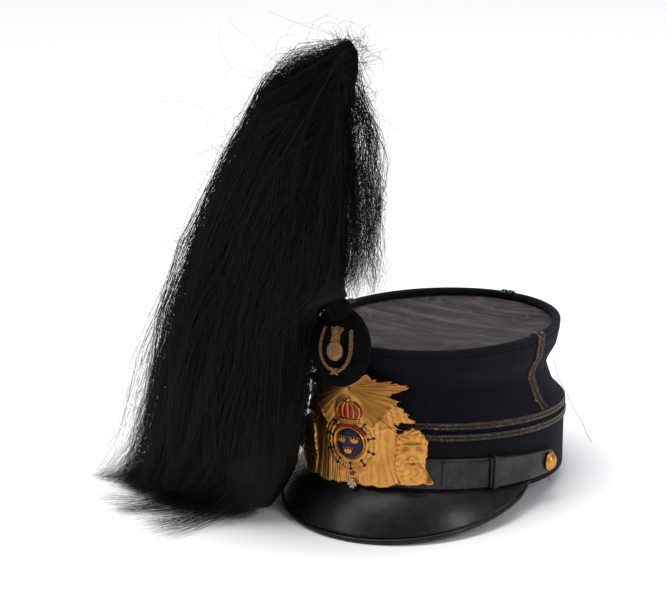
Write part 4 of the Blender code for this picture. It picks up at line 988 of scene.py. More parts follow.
# ---- enamel and gilt pieces that lie on the plate, drawn flat in metres and bent round it
badge = {
    "foot": 0.0013, "ovalX": -0.0004, "ovalY": -0.0038, "radius": 0.0105, "inner": 0.0091, "rimRise": 0.0024,
    "enamelRise": 0.0011, "enamelGap": 0.0002, "smallCrown": 0.0031, "arcOuter": 0.0122, "arcInner": 0.0106,
    "crownY": 0.0160, "crownHalf": 0.0080, "capFoot": 0.0003, "pins": 9, "pinStart": 0.0120, "pinLength": 0.0050,
    "pinRadius": 0.0006, "leafReach": 0.0142, "leafLength": 0.0022, "crossX": 0.0010, "crossY": -0.0288,
    "crossSpan": 0.0060, "crossLift": 0.0018, "gemY": -0.0228,
}


def seatOnPlate(obj, finish, nodes=(), smooth=40):
    settle(layOnPlate(obj), finish, nodes, smooth=smooth)


def slabOf(name, outline, foot, rise, soften=0.00018, dome=0.0):
    # an outline raised into a slab with softened edges, its top inset and lifted if it is domed
    deselectAll()
    bpy.ops.mesh.primitive_circle_add(vertices=len(outline), radius=1, fill_type="NGON")
    obj = bpy.context.active_object
    obj.name = obj.data.name = name
    writePoints(obj, np.column_stack([outline, np.full(len(outline), foot)]))
    bpy.ops.object.mode_set(mode="EDIT")
    bpy.ops.mesh.select_all(action="SELECT")
    bpy.ops.mesh.extrude_region_move(TRANSFORM_OT_translate={"value": (0, 0, rise)})
    if dome:
        bpy.ops.mesh.inset(thickness=dome, depth=0)
        bpy.ops.transform.translate(value=(0, 0, dome * 0.6))
    bpy.ops.mesh.select_all(action="SELECT")
    bpy.ops.mesh.normals_make_consistent(inside=False)
    bpy.ops.object.mode_set(mode="OBJECT")
    applyWith(obj, "BEVEL", width=soften, segments=2, limit_method="ANGLE", angle_limit=0.6)
    return obj


def ribOf(name, path, half, foot, rise, sides=10):
    # a rounded rib along a flat path, its back lying flat
    along = np.gradient(path, axis=0)
    along /= np.linalg.norm(along, axis=1)[:, None]
    swing = turns(sides)
    half = np.broadcast_to(half, (len(path),))
    across = np.cos(swing)[None, :] * half[:, None]
    x = path[:, :1] - along[:, 1:] * across
    y = path[:, 1:] + along[:, :1] * across
    z = foot + np.maximum(np.sin(swing), -0.15)[None, :] * rise * half[:, None] / half.max()
    return wrapTube(name, np.stack([x, y, z], -1), True)


def beadOf(name, x, y, z, radius, flatten=1.0):
    deselectAll()
    bpy.ops.mesh.primitive_uv_sphere_add(segments=12, ring_count=8, radius=radius)
    obj = bpy.context.active_object
    obj.name = obj.data.name = name
    writePoints(obj, readPoints(obj) * (1, 1, flatten) + (x, y, z))
    return obj


def smallCrown(name, x, y, half, foot, rise):
    # an open crown with three leaves and two points, pearled at the tips
    right = [(0.0, 0.60), (0.17, 0.20), (0.40, 0.04), (0.54, 0.46), (0.68, 0.06), (0.80, 0.00), (1.0, 0.42),
             (0.72, -0.52), (0.36, -0.62), (0.0, -0.66)]
    pearls = ((0.0, 0.66), (0.54, 0.50), (-0.54, 0.50), (1.0, 0.48), (-1.0, 0.48))
    brow = np.array([(-0.72, -0.34), (-0.3, -0.42), (0.3, -0.42), (0.72, -0.34)])
    whole = right + [(-a, u) for a, u in reversed(right[1:-1])]
    parts = [slabOf(name, np.array(whole) * half + (x, y), foot, rise, 0.00012)]
    parts += [beadOf("pearl", x + a * half, y + u * half, foot + rise * 0.7, half * 0.15) for a, u in pearls]
    parts.append(ribOf("brow", brow * half + (x, y), half * 0.09, foot + rise, half * 0.10, 6))
    return joinAll(name, parts)


def makeMedallion():
    medallion = {"rimAround": 96, "rimSides": 16, "enamelAround": 72}
    x, y, foot, inner = badge["ovalX"], badge["ovalY"], badge["foot"], badge["inner"]
    angle, swing = np.meshgrid(turns(medallion["rimAround"]), turns(medallion["rimSides"]), indexing="ij")
    radius = (badge["radius"] + inner) / 2 + (badge["radius"] - inner) / 2 * np.cos(swing)
    lift = np.maximum(np.sin(swing), 0) ** 0.8 * (1.0 + 0.25 * np.cos(swing)) / 1.25
    table = np.stack([x + radius * np.sin(angle), y - radius * np.cos(angle), foot + badge["rimRise"] * lift], -1)
    seatOnPlate(wrapRing("medallionRim", table), "gilt_brass", ["medallion_rim"])

    # the enamel's section from its edge to its middle, as shares of its radius and rise
    share = np.array([1.0, 1.0, 0.98, 0.94, 0.86, 0.74, 0.58, 0.40, 0.20, 0.0])
    height = np.array([0.0, 0.35, 0.55, 0.66, 0.76, 0.85, 0.92, 0.97, 0.99, 1.0])
    angle = turns(medallion["enamelAround"])[None, :]
    radius = share[:, None] * (inner - badge["enamelGap"])
    table = np.stack([x + radius * np.sin(angle), y - radius * np.cos(angle),
                      foot + badge["enamelRise"] * height[:, None] + 0 * angle], -1)
    seatOnPlate(wrapTube("medallionEnamel", table, True), "blue_enamel", ["medallion_enamel"], 60)

    for number, (a, u) in enumerate(((-0.50, 0.24), (0.42, 0.26), (-0.06, -0.48)), 1):
        crown = smallCrown(f"medallionCrown{number}", x + a * inner, y + u * inner, badge["smallCrown"],
                           foot + badge["enamelRise"] * 0.92, 0.0008)
        seatOnPlate(crown, "gilt_brass", [f"medallion_crown_{number}"])

    turn = np.radians(np.linspace(28, 152, 26))
    outline = [(x + reach * math.cos(t), y + reach * math.sin(t)) for reach, run in
               ((badge["arcOuter"], turn), (badge["arcInner"], turn[::-1])) for t in run]
    seatOnPlate(slabOf("redArc", np.array(outline), foot, 0.0008), "red_enamel")


def makeClosedCrown():
    foot, half, y = badge["foot"], badge["crownHalf"], badge["crownY"]
    base, brow, top = y - half * 0.93, y - half * 0.54, y + half * 0.72
    sagging = 0.0005
    run = np.linspace(-1, 1, 15)
    low = np.column_stack([run * half * 0.74, base - sagging * (1 - run**2)])
    high = np.column_stack([run[::-1] * half * 0.82, brow - sagging * (1 - run**2)])
    parts = [slabOf("crownBand", np.concatenate([low, high]), foot, 0.0008, 0.00015)]
    for edge in (low + (0, 0.0004), high[::-1] - (0, 0.0004)):
        parts.append(ribOf("bandEdge", edge, 0.00045, foot + 0.0008, 0.0006))
    for place in np.linspace(-0.62, 0.62, 9):
        parts.append(beadOf("pearl", place * half, (base + brow) / 2 - sagging * (1 - place**2) + 0.0001,
                            foot + 0.0010, 0.00048))
    seatOnPlate(joinAll("crownBand", parts), "gilt_brass", ["crown_ring"])

    lobes = [(0.0, 0.0), (0.42, 0.0), (0.80, 0.02), (0.93, 0.20), (1.0, 0.42), (0.93, 0.64), (0.76, 0.84),
             (0.52, 0.96), (0.22, 1.0)]
    lobes = lobes + [(-a, u) for a, u in reversed(lobes[1:])]
    capFoot = brow + badge["capFoot"]
    cap = np.array([(a * half, capFoot + (top - capFoot) * u) for a, u in lobes])
    seatOnPlate(slabOf("crownCap", cap, foot, 0.0004, 0.0002, dome=0.0009), "red_enamel", ["crown_cap"])

    seat = foot + 0.0012
    share = np.linspace(0.02, 1.0, 16)
    swell = 1.0 + 0.30 * np.sin(share * math.pi * 0.75) - 0.75 * share**2.6
    for number, lean in enumerate((-0.80, -0.40, 0.0, 0.40, 0.80), 1):
        name = f"crownArch{number}"
        path = np.column_stack([lean * half * swell, capFoot + (top - capFoot) * share])
        parts = [ribOf(name, path, 0.00055, seat, 0.0006)]
        parts += [beadOf("pearl", x, up, seat + 0.0006, 0.00042) for x, up in path[2:-1:2]]
        seatOnPlate(joinAll(name, parts), "gilt_brass", [f"crown_arch_{number}"])

    orbY = top + 0.0013
    upright = np.array([(0.0004, 0.0004), (0.0004, 0.0013), (-0.0004, 0.0013), (-0.0004, 0.0004)])
    parts = [beadOf("crownOrb", 0, orbY, foot + 0.0006, 0.0013, 0.8),
             slabOf("orbCross", upright + (0, orbY + 0.0008), foot, 0.0008, 0.0001),
             slabOf("orbArms", upright[:, ::-1] + (-0.00085, orbY + 0.0013), foot, 0.0008, 0.0001)]
    seatOnPlate(joinAll("crownOrb", parts), "gilt_brass", ["crown_orb"])


def makePinsAndLeaves():
    foot, middle = badge["foot"], np.array([badge["ovalX"], badge["ovalY"]])
    share = np.linspace(0, 1, 25)
    widths = badge["pinRadius"] * np.interp(share, [0, 0.04, 0.18, 0.26, 0.74, 0.82, 0.96, 1.0],
                                            [0.4, 1.5, 1.6, 0.6, 0.6, 1.6, 1.5, 0.4])
    reach = badge["pinStart"] + share[:, None] * badge["pinLength"]
    run = np.linspace(-0.2, 1, 9)[:, None] * badge["leafLength"]
    swell = 0.0006 * np.sin(np.linspace(0.15, 0.97, 9) * math.pi)
    leaves = []
    for number, turn in enumerate(np.radians(np.linspace(-230, 50, badge["pins"])), 1):
        pin = ribOf(f"collarPin{number}", middle + reach * (math.cos(turn), math.sin(turn)), widths,
                    foot + 0.0004, 0.0009, 8)
        seatOnPlate(pin, "blue_enamel", [f"collar_pin_{number}"])
        if number == badge["pins"]:
            break
        # a small gilt leaf of three lobes between this pin and the next
        aside = turn + math.radians(17.5)
        at = middle + badge["leafReach"] * np.array([math.cos(aside), math.sin(aside)])
        for heading in (aside - 0.8, aside, aside + 0.8):
            lobe = at + run * (math.cos(heading), math.sin(heading))
            leaves.append(ribOf("leaf", lobe, swell, foot - 0.0001, 0.0008, 8))
    seatOnPlate(joinAll("collarLeaves", leaves), "gilt_brass")


def makeCross():
    x, y, seat = badge["crossX"], badge["crossY"], badge["foot"] + badge["crossLift"]
    arm, waist, tip = badge["crossSpan"] / 2, badge["crossSpan"] * 0.09, badge["crossSpan"] * 0.24
    quarter = ((arm, -tip), (arm * 0.82, 0.0), (arm, tip), (waist, waist))
    outline = [(x + a * math.cos(turn) - u * math.sin(turn), y + a * math.sin(turn) + u * math.cos(turn))
               for turn in turns(4) for a, u in quarter]
    seatOnPlate(slabOf("pendantCross", np.array(outline), seat, 0.0007, 0.00015), "white_enamel", ["pendant_cross"])
    studs = [beadOf("crossStud", x, y, seat + 0.0008, 0.0008)]
    for turn in turns(4) + math.pi / 4:
        studs.append(beadOf("stud", x + 0.0020 * math.cos(turn), y + 0.0020 * math.sin(turn), seat + 0.0003, 0.0005))
    seatOnPlate(joinAll("crossStuds", studs), "gilt_brass")
    seatOnPlate(beadOf("redGem", x - 0.0002, badge["gemY"], badge["foot"] + 0.0013, 0.0014, 0.6), "red_enamel")


makeMedallion()
makeClosedCrown()
makePinsAndLeaves()
makeCross()


# ---- the padded boss, its embroidery and the plume's socket
boss = {
    "halfWidth": 0.0198, "halfHeight": 0.0235, "height": 0.0912, "shift": -0.0030, "edge": 0.0045,
    "depth": 0.0155, "back": -0.1234, "ball": 0.0053, "bullion": 0.00050, "thread": 0.00042, "aside": 0.0030,
    "twistPitch": 0.0038, "dents": 0.00016, "around": 96, "rings": 26,
}


def bossSpot(across, up, lift):
    # on the boss's face and lift metres off it
    inside = np.clip(1 - (across / boss["halfWidth"]) ** 2 - (up / boss["halfHeight"]) ** 2, 0, 1)
    rise = boss["edge"] + (boss["depth"] - boss["edge"]) * np.sqrt(inside)
    x, y, z = np.broadcast_arrays(boss["shift"] + across, boss["back"] - rise - lift, boss["height"] + up)
    return np.stack([x, y, z], -1)


def stitchSpot(across, up, lift):
    # the embroidery's own middle lies a little to the side of the boss's
    return bossSpot(across + boss["aside"], up, lift)


def cordOf(name, path, radius, sides=7):
    # a thin round cord through places in space
    along = np.gradient(path, axis=0)
    along /= np.maximum(np.linalg.norm(along, axis=1), 1e-9)[:, None]
    side = np.cross(along, np.array([0.05, 0.99, 0.10]))
    side /= np.linalg.norm(side, axis=1)[:, None]
    other = np.cross(side, along)
    swing = turns(sides)
    ring = np.cos(swing)[None, :, None] * side[:, None] + np.sin(swing)[None, :, None] * other[:, None]
    return wrapTube(name, path[:, None] + ring * radius, True)


def makeBoss():
    share = np.concatenate([[1.0, 1.0, 1.0], np.sin(np.linspace(math.pi / 2, 0, boss["rings"]))])
    angle, share = np.meshgrid(turns(boss["around"]), share)
    across, up = share * boss["halfWidth"] * np.sin(angle), -share * boss["halfHeight"] * np.cos(angle)
    table = bossSpot(across, up, 0.0)
    # the first three rings are its back edge and its side
    table[:3, :, 1] = boss["back"] - boss["edge"] * np.array([0.0, 0.45, 0.9])[:, None]
    table[0, :, 0] = boss["shift"] + (table[0, :, 0] - boss["shift"]) * 0.96
    dent = ripple(table.reshape(-1, 3), 170, 83, 3).reshape(share.shape)
    table[3:, :, 1] += (dent * boss["dents"])[3:]
    obj = wrapTube("velvetBoss", table, True)
    settle(obj, "black_velvet", ["boss"], smooth=70)


def makeWreath():
    # a branch each side: two bullion cords twisted round each other, and an arm of the knot
    stem = np.array([(0.2, -12.3), (3.0, -11.4), (5.8, -9.0), (8.0, -6.0), (9.3, -2.4), (9.8, 1.6),
                     (9.6, 6.0), (9.0, 10.0), (8.2, 13.4)]) / 1000
    line, run = evenSteps(stem, 120)
    line = smoothed(line, 12)
    along = np.gradient(line, axis=0)
    along /= np.linalg.norm(along, axis=1)[:, None]
    arm = np.linspace(-1, 1, 9)
    for side, sign in (("left", 1), ("right", -1)):
        parts = []
        for strand in (0, math.pi):
            phase = run / boss["twistPitch"] * 2 * math.pi + strand
            off = 0.00072 * np.cos(phase)
            spot = stitchSpot(sign * (line[:, 0] - along[:, 1] * off), line[:, 1] + along[:, 0] * off,
                              0.00075 + 0.00055 * np.sin(phase))
            parts.append(cordOf("bullion", spot, boss["bullion"]))
        for shift in (-0.00045, 0.00045):
            spot = stitchSpot(sign * arm * 0.0019 + shift, -0.0122 + arm * 0.0022, 0.0011 + 0 * arm)
            parts.append(cordOf("knotArm", spot, boss["thread"]))
        settle(joinAll("wreath" + side.title(), parts), "gold_thread", [f"wreath_{side}"], smooth=60)


def makeGrenade():
    # a ball of coiled thread, and a flame of thread laid to and fro
    grenade = {"around": 56, "rings": 46, "tall": 1.10, "coils": 7, "passes": 16.5, "foot": 0.0056, "flame": 0.0088}
    angle, share = np.meshgrid(turns(grenade["around"]),
                               np.concatenate([[1.0, 1.0], np.linspace(0.97, 0, grenade["rings"])]))
    across = share * boss["ball"] * np.sin(angle)
    up = -share * boss["ball"] * grenade["tall"] * np.cos(angle)
    lift = 0.0003 + 0.0013 * np.sqrt(1 - share**2)
    lift = lift + 0.00016 * np.abs(np.sin(share * grenade["coils"] * math.pi))
    lift[0] = 0.0002
    settle(wrapTube("grenadeBall", stitchSpot(across, up, lift), True), "gold_thread", ["grenade_ball"], smooth=60)
    run = np.linspace(0, 1, 330)
    half = np.interp(run, [0, 0.1, 0.5, 0.66, 0.84, 1.0], [3.3, 2.9, 2.9, 3.5, 4.3, 3.4]) / 1000
    across = half * np.arcsin(np.sin(run * grenade["passes"] * math.pi)) * 2 / math.pi
    up = grenade["foot"] + run * grenade["flame"] + 0.0004 * np.cos(across / 0.0024 * math.pi)
    spot = stitchSpot(across, up, 0.0007 + 0.0002 * np.cos(run * 60))
    settle(cordOf("grenadeFlame", spot, boss["thread"]), "gold_thread", ["grenade_flame"], smooth=60)


def makeSocket():
    # radius and height of its section, up the outside, over the lip and down to the blind bottom
    socket = {"y": -0.1151, "foot": 0.0770, "around": 40}
    profile = np.array([(7.7, 0), (8.0, 0.3), (8.0, 15.7), (7.7, 16.0), (5.2, 16.0), (4.9, 15.7), (4.9, 2.0),
                        (2.4, 2.0), (0.0, 2.0)]) / 1000
    angle = turns(socket["around"])[None, :]
    table = np.stack([profile[:, :1] * np.sin(angle), socket["y"] - profile[:, :1] * np.cos(angle),
                      socket["foot"] + profile[:, 1:] + 0 * angle], -1)
    settle(wrapTube("plumeSocket", table, True), "blackened_steel", ["plume_socket"])


def makeKnob():
    # the wool knob over the boss, round the foot of the plume's stem
    knob = {"radius": 0.0076, "x": -0.0035, "y": -0.1180, "z": 0.1430, "lumps": 0.035, "rows": 26, "around": 40}
    share, angle = np.linspace(0, math.pi, knob["rows"])[:, None], turns(knob["around"])[None, :]
    radius = knob["radius"] * np.sin(share)
    table = np.stack([radius * np.sin(angle), -radius * np.cos(angle),
                      -knob["radius"] * np.cos(share) + 0 * angle], -1)
    lumps = 1 + knob["lumps"] * ripple(table.reshape(-1, 3), 900, 87, 3)
    table = table * lumps.reshape(knob["rows"], knob["around"], 1)
    table = table + (hat["x"] + knob["x"], hat["y"] + knob["y"], knob["z"])
    settle(wrapTube("woolKnob", table), "black_velvet", leaning=False, smooth=70)


def makeThreads():
    # two ends of sewing thread that have come loose at the back right
    thread = {"radius": 0.00016, "wave": 0.0004}
    runs = {
        "looseThread": [(0.1106, 0.0800, 0.0790), (0.1122, 0.0860, 0.0655), (0.1150, 0.0950, 0.0500),
                        (0.1190, 0.1060, 0.0330), (0.1222, 0.1130, 0.0200), (0.1236, 0.1175, 0.0120)],
        "threadTip": [(0.1243, 0.0440, 0.0200), (0.1252, 0.0446, 0.0160), (0.1266, 0.0452, 0.0128),
                      (0.1262, 0.0470, 0.0098), (0.1274, 0.0480, 0.0080)],
    }
    for name, run in runs.items():
        share = np.linspace(0, len(run) - 1, 40)
        path = np.stack([np.interp(share, np.arange(len(run)), column) for column in np.array(run).T], 1)
        path = smoothed(path, 10)
        path[:, 0] += thread["wave"] * np.sin(share * 4.1)
        settle(cordOf(name, path, thread["radius"], 6), "midnight_wool", leaning=False, smooth=60)


makeBoss()
makeWreath()
makeGrenade()
makeSocket()
makeKnob()
makeThreads()


# ---- the plume: a dark body inside, and its hair strand by strand
# reach and tail run to the wearer's right, past softLimit a strand is held back to within stray of it,
# skim is the least height of a hair over the table, and room holds the loose hairs
plume = {
    "height": 0.3030, "reach": 0.1850, "axisY": -0.1150, "halfDepth": 0.0340, "tail": 0.0300,
    "tailStart": 0.84, "coreInset": 0.0062, "coreRows": 60, "coreAround": 64, "floor": 0.0005,
    "softLimit": -0.178, "stray": 0.020, "crestFrom": 0.80, "loft": 0.0070, "loftVaries": 0.0065,
    "crestFall": 0.0085, "crestRise": 0.0038, "brownShare": 0.015, "skim": 0.0004,
    "room": ((-0.188, 0.040), (-0.186, -0.060), (0.0004, 0.311)),
}
# how hair from each height of the stem takes its reach as it falls, as shares of the whole
fallRoots = np.array([0.610, 0.630, 0.655, 0.685, 0.715, 0.745, 0.785, 0.820, 0.855, 0.890, 0.925, 0.945, 0.985])
fallNear = np.array([0.20, 0.23, 0.28, 0.33, 0.39, 0.45, 0.52, 0.58, 0.65, 0.73, 0.80, 0.84, 0.92])
fallBend = np.array([0.30, 0.34, 0.44, 0.48, 0.52, 0.54, 0.56, 0.58, 0.58, 0.60, 0.62, 0.62, 0.62])
fallFloor = np.array([0.33, 0.39, 0.47, 0.53, 0.59, 0.63, 0.68, 0.71, 0.75, 0.80, 0.84, 0.87, 0.93])
fallTail = np.array([1.7, 1.5, 1.2, 1.1, 1.0, 0.8, 0.7, 0.7, 0.6, 0.5, 0.5, 0.5, 0.6])
fallSweep = np.radians([62, 60, 58, 58, 54, 50, 48, 46, 42, 38, 30, 24, 12])
# the whole mane's shape, by shares of its height: its depth, how far forward it stands and its two edges
bodyHeights = np.array([0.02, 0.12, 0.24, 0.42, 0.50, 0.67, 0.79, 0.88, 0.945, 0.982, 1.0])
bodyDepth = np.array([0.98, 1.00, 0.90, 0.76, 0.66, 0.60, 0.52, 0.42, 0.32, 0.18, 0.07])
bodyFore = np.array([0.25, 0.20, 0.05, 0, 0, 0, 0, 0, 0, 0, 0])
bodyLeft = np.array([0.855, 0.830, 0.775, 0.680, 0.622, 0.492, 0.385, 0.280, 0.175, 0.060, 0.010])
bodyRight = np.array([0.265, 0.180, 0.170, 0.165, -0.010, -0.015, -0.020, -0.022, -0.020, -0.015, -0.012])
# how much thinner its front is near the table, and its outer edge over its whole height
frontHeights, frontShares = np.array([0.0, 0.06, 0.18, 0.40]), np.array([0.42, 0.50, 0.78, 1.0])
thinHeights = np.array([0.0, 0.03, 0.10, 0.40, 0.60, 0.80])
thinShares = np.array([0.97, 0.91, 0.875, 0.885, 0.94, 1.0])


def makePlumeCore():
    # closed sections from the table up, drawn in from the hair's edge
    level = np.concatenate([np.linspace(0.012, 0.05, 8)[:-1], np.linspace(0.05, 0.940, plume["coreRows"] - 7)])
    left = np.interp(level, bodyHeights, bodyLeft) * plume["reach"] - plume["coreInset"] * 1.6
    left = left * np.interp(level, thinHeights, thinShares)
    right = np.interp(level, bodyHeights, bodyRight) * plume["reach"] + plume["coreInset"] * 0.3
    soft = fade(0.5 - level, 0.035)
    right = np.where(level < 0.5, -0.0019 * (1 - soft) + right * soft, right)
    left = np.maximum(left, right + 0.004)
    depth = np.interp(level, bodyHeights, bodyDepth) * plume["halfDepth"] - plume["coreInset"] * 0.8
    depth = np.maximum(depth, 0.002)
    foot = np.clip((level - 0.004) / 0.03, 0.2, 1) ** 0.5
    swing = turns(plume["coreAround"])
    across = squared(np.cos(swing), 0.85)
    middle, half = (left + right) / 2, (left - right) / 2 * foot
    x = -(middle[:, None] - half[:, None] * across)
    y = plume["axisY"] - np.interp(level, bodyHeights, bodyFore)[:, None] * plume["halfDepth"]
    front = np.where(np.sin(swing) < 0, np.interp(level, frontHeights, frontShares)[:, None], 1.0)
    y = y + (depth * foot)[:, None] * np.sin(swing) * front
    z = level[:, None] * plume["height"] + 0 * x
    table = np.stack([x, y, z], -1)
    places = table.reshape(-1, 3) * np.array([1.0, 1.0, 0.22])
    bulge = ripple(places, 170, 41, 3) * 0.0022
    centre = np.stack([-middle, y.mean(1), z[:, 0]], -1)
    out = (table - centre[:, None]).reshape(-1, 3)
    out[:, 2] = 0
    out /= np.maximum(np.linalg.norm(out, axis=1), 1e-6)[:, None]
    table = table + (out * bulge[:, None]).reshape(table.shape) + (hat["x"], hat["y"], 0)
    settle(wrapTube("plumeCore", table, True), "black_horsehair", ["plume"], leaning=False, smooth=60)


def evenShares(count, stations):
    return np.linspace(0, 1, stations)[None, :] + np.zeros((count, 1))


def ownersOf(tufts, each):
    # the number of the tuft that each strand belongs to
    return np.repeat(np.arange(tufts), each)


def waves(draw, count, share, strength, low, high):
    # seeded sideways waves along each strand: count x stations x 3
    total = np.zeros((count, share.shape[1], 3))
    for _ in range(3):
        beat = draw.uniform(low, high, (count, 1, 1))
        phase = draw.uniform(0, 2 * math.pi, (count, 1, 3))
        size = draw.normal(0, 1, (count, 1, 3)) * np.array([1.0, 1.0, 0.35])
        total += size * np.sin(share[..., None] * beat * 2 * math.pi + phase) / 1.7
    return total * np.reshape(strength, (-1, 1, 1))


def fallPaths(root, depth, spread, cut, stations):
    # strands from the stem down to the table, and how far each station has fallen
    share = np.linspace(0, 1, stations)[None, :] * cut[:, None]
    near, bend, floor, tailSize, sweep = [
        np.interp(root, fallRoots, values)[:, None]
        for values in (fallNear, fallBend, fallFloor, fallTail, fallSweep)]
    fall = np.minimum(share / plume["tailStart"], 1)
    tail = np.maximum(share - plume["tailStart"], 0) / (1 - plume["tailStart"])
    reach = (near * fall**bend + (floor - near) * fall**3) * (1 + spread[:, None]) * plume["reach"]
    level = root[:, None] * (1 - fall)
    reach = reach * np.interp(level, thinHeights, thinShares)
    left = np.interp(level, bodyHeights, bodyLeft)
    right = np.interp(level, bodyHeights, bodyRight)
    lean = (reach / plume["reach"] - (left + right) / 2) / ((left - right) / 2)
    roundness = np.sqrt(np.clip(1 - 0.80 * lean**2, 0.12, 1))
    deep = np.interp(level, bodyHeights, bodyDepth) * plume["halfDepth"]
    front = np.where(depth[:, None] < 0, np.interp(level, frontHeights, frontShares), 1.0)
    y = plume["axisY"] + depth[:, None] * deep * roundness * front * np.minimum(fall / 0.10, 1) ** 0.6
    # hair from the stem's end rises and leans over a little before it falls
    crest = fade(root[:, None] - plume["crestFrom"], 0.15)
    over = np.abs(np.sin(depth * 57 + root * 310))[:, None] * crest * fade(1 - fall / 0.12)
    over = plume["crestFall"] * over
    loft = plume["loft"] + plume["loftVaries"] * np.abs(np.sin(depth * 41 + root * 530))[:, None]
    x = -reach + over
    z = level * plume["height"] + crest * loft * np.sin(math.pi * fade(fall, 0.17)) ** 0.8 - 110 * over**2
    z = z + plume["crestRise"] * crest**2 * fade(1 - fall / 0.25)
    # the last part sweeps out over the table
    reachOut = tail * tailSize * plume["tail"] * np.clip(1.5 * np.sin(depth * 13 + root * 70), 0.12, 1.5)[:, None]
    x = x - reachOut * np.cos(sweep)
    y = y - reachOut * np.sin(sweep)
    return np.stack([x, y, z], -1), fall


def layStrands(name, paths, radius, tone, taper=0.75):
    # three-sided strands, thinner to the tip and closed at both ends, in one mesh
    count, stations = paths.shape[:2]
    lift = plume["floor"] + np.reshape(radius, (-1, 1))
    paths = paths.copy()
    beyond = np.maximum(plume["softLimit"] - paths[..., 0], 0)
    paths[..., 0] += beyond - plume["stray"] * (1 - np.exp(-beyond / plume["stray"]))
    paths[..., 2] = np.maximum(paths[..., 2], lift)
    paths += (hat["x"], hat["y"], 0)
    along = np.gradient(paths, axis=1)
    along /= np.maximum(np.linalg.norm(along, axis=2), 1e-9)[..., None]
    side = np.cross(along, np.array([0.31, 0.90, 0.30]))
    side /= np.maximum(np.linalg.norm(side, axis=2), 1e-9)[..., None]
    other = np.cross(along, side)
    share = np.linspace(0, 1, stations)
    width = np.reshape(radius, (-1, 1)) * (1 - taper * share**3)[None, :]
    ring = np.stack([paths + (side * math.cos(turn) + other * math.sin(turn)) * width[..., None]
                     for turn in turns(3)], 2)
    ends = np.stack([paths[:, 0] - along[:, 0] * width[:, :1], paths[:, -1] + along[:, -1] * width[:, -1:]], 1)
    ends[..., 2] = np.maximum(ends[..., 2], 0.0002)
    each = stations * 3 + 2
    points = np.concatenate([ring.reshape(count, -1, 3), ends], 1).reshape(-1, 3)
    sides = ((0, 1), (1, 2), (2, 0))
    quads = [(row + a, row + b, row + 3 + b, row + 3 + a) for row in range(0, stations * 3 - 3, 3) for a, b in sides]
    last = stations * 3 - 3
    caps = [(a, each - 2, b) for a, b in sides] + [(last + b, each - 1, last + a) for a, b in sides]
    base = (np.arange(count) * each)[:, None]
    corners = np.concatenate([base + np.array(quads).ravel(), base + np.array(caps).ravel()], 1).ravel()
    sizes = np.tile(np.array([4] * len(quads) + [3] * len(caps)), count)
    mesh = bpy.data.meshes.new(name)
    mesh.vertices.add(len(points))
    mesh.vertices.foreach_set("co", points.astype(np.float32).ravel())
    mesh.loops.add(len(corners))
    mesh.loops.foreach_set("vertex_index", corners.astype(np.int32))
    mesh.polygons.add(len(sizes))
    mesh.polygons.foreach_set("loop_start", np.concatenate([[0], np.cumsum(sizes)[:-1]]).astype(np.int32))
    mesh.update(calc_edges=True)
    mesh.validate()
    layer = mesh.attributes.new("tone", "FLOAT", "POINT")
    layer.data.foreach_set("value", np.repeat(tone, each).astype(np.float32))
    obj = bpy.data.objects.new(name, mesh)
    scene.collection.objects.link(obj)
    settle(obj, "black_horsehair", leaning=False, smooth=75)
    return obj


def drawTones(draw, count):
    # mostly black, with a brown hair here and there
    tone = draw.beta(1.6, 3.2, count) * 0.8
    brown = draw.random(count) < plume["brownShare"]
    return np.where(brown, draw.uniform(0.85, 0.98, count), tone)


def makeFallingHair():
    # the mane itself, in clumps that draw together as they fall
    # sway and kink are a wave's strength and its least and greatest beats, pile is the height of the heap's edge
    hair = {"clumps": 390, "perClump": 14, "stations": 9, "radius": 0.00015, "pieces": 4,
            "sway": (0.0046, 0.7, 2.3), "kink": (0.0011, 1.2, 3.6), "pile": 0.0090}
    draw = np.random.default_rng(7)
    clumps = hair["clumps"]
    root = 0.612 + 0.373 * draw.random(clumps) ** 0.80
    root = np.where(draw.random(clumps) < 0.13, draw.uniform(0.955, 0.985, clumps), root)
    depth = np.clip(draw.normal(0, 0.85, clumps), -1.25, 1.2)
    spread = draw.normal(-0.01, 0.050, clumps)
    count = clumps * hair["perClump"]
    owner = ownersOf(clumps, hair["perClump"])
    rootAll = np.clip(root[owner] + draw.normal(0, 0.012, count), 0.605, 0.985)
    depthAll = depth[owner] + draw.normal(0, 0.13, count)
    spreadAll = spread[owner] + draw.normal(0, 0.018, count)
    cut = np.clip(1 - np.abs(draw.normal(0, 0.09, clumps))[owner] - np.abs(draw.normal(0, 0.06, count)), 0.55, 1)
    paths, fall = fallPaths(rootAll, depthAll, spreadAll, cut, hair["stations"])
    share = np.linspace(0, 1, hair["stations"])[None, :] * cut[:, None]
    shared = waves(draw, clumps, evenShares(clumps, hair["stations"]), *hair["sway"])[owner]
    own = waves(draw, count, share, *hair["kink"])
    ease = np.minimum(fall / 0.25, 1)[..., None]
    gather = paths.reshape(clumps, hair["perClump"], hair["stations"], 3).mean(1)[owner]
    pull = (0.05 + 0.38 * fall**1.5)[..., None]
    paths = paths * (1 - pull) + gather * pull + (shared + own * (0.6 + fall[..., None])) * ease
    low = draw.uniform(plume["skim"], hair["pile"], (count, 1)) * (1.1 - share)
    paths[..., 2] = np.maximum(paths[..., 2], low)
    radius = hair["radius"] * draw.uniform(0.75, 1.2, count)
    tone = drawTones(draw, count)
    for piece in range(hair["pieces"]):
        part = slice(piece * count // hair["pieces"], (piece + 1) * count // hair["pieces"])
        layStrands(f"fallingHair{piece + 1}", paths[part], radius[part], tone[part])


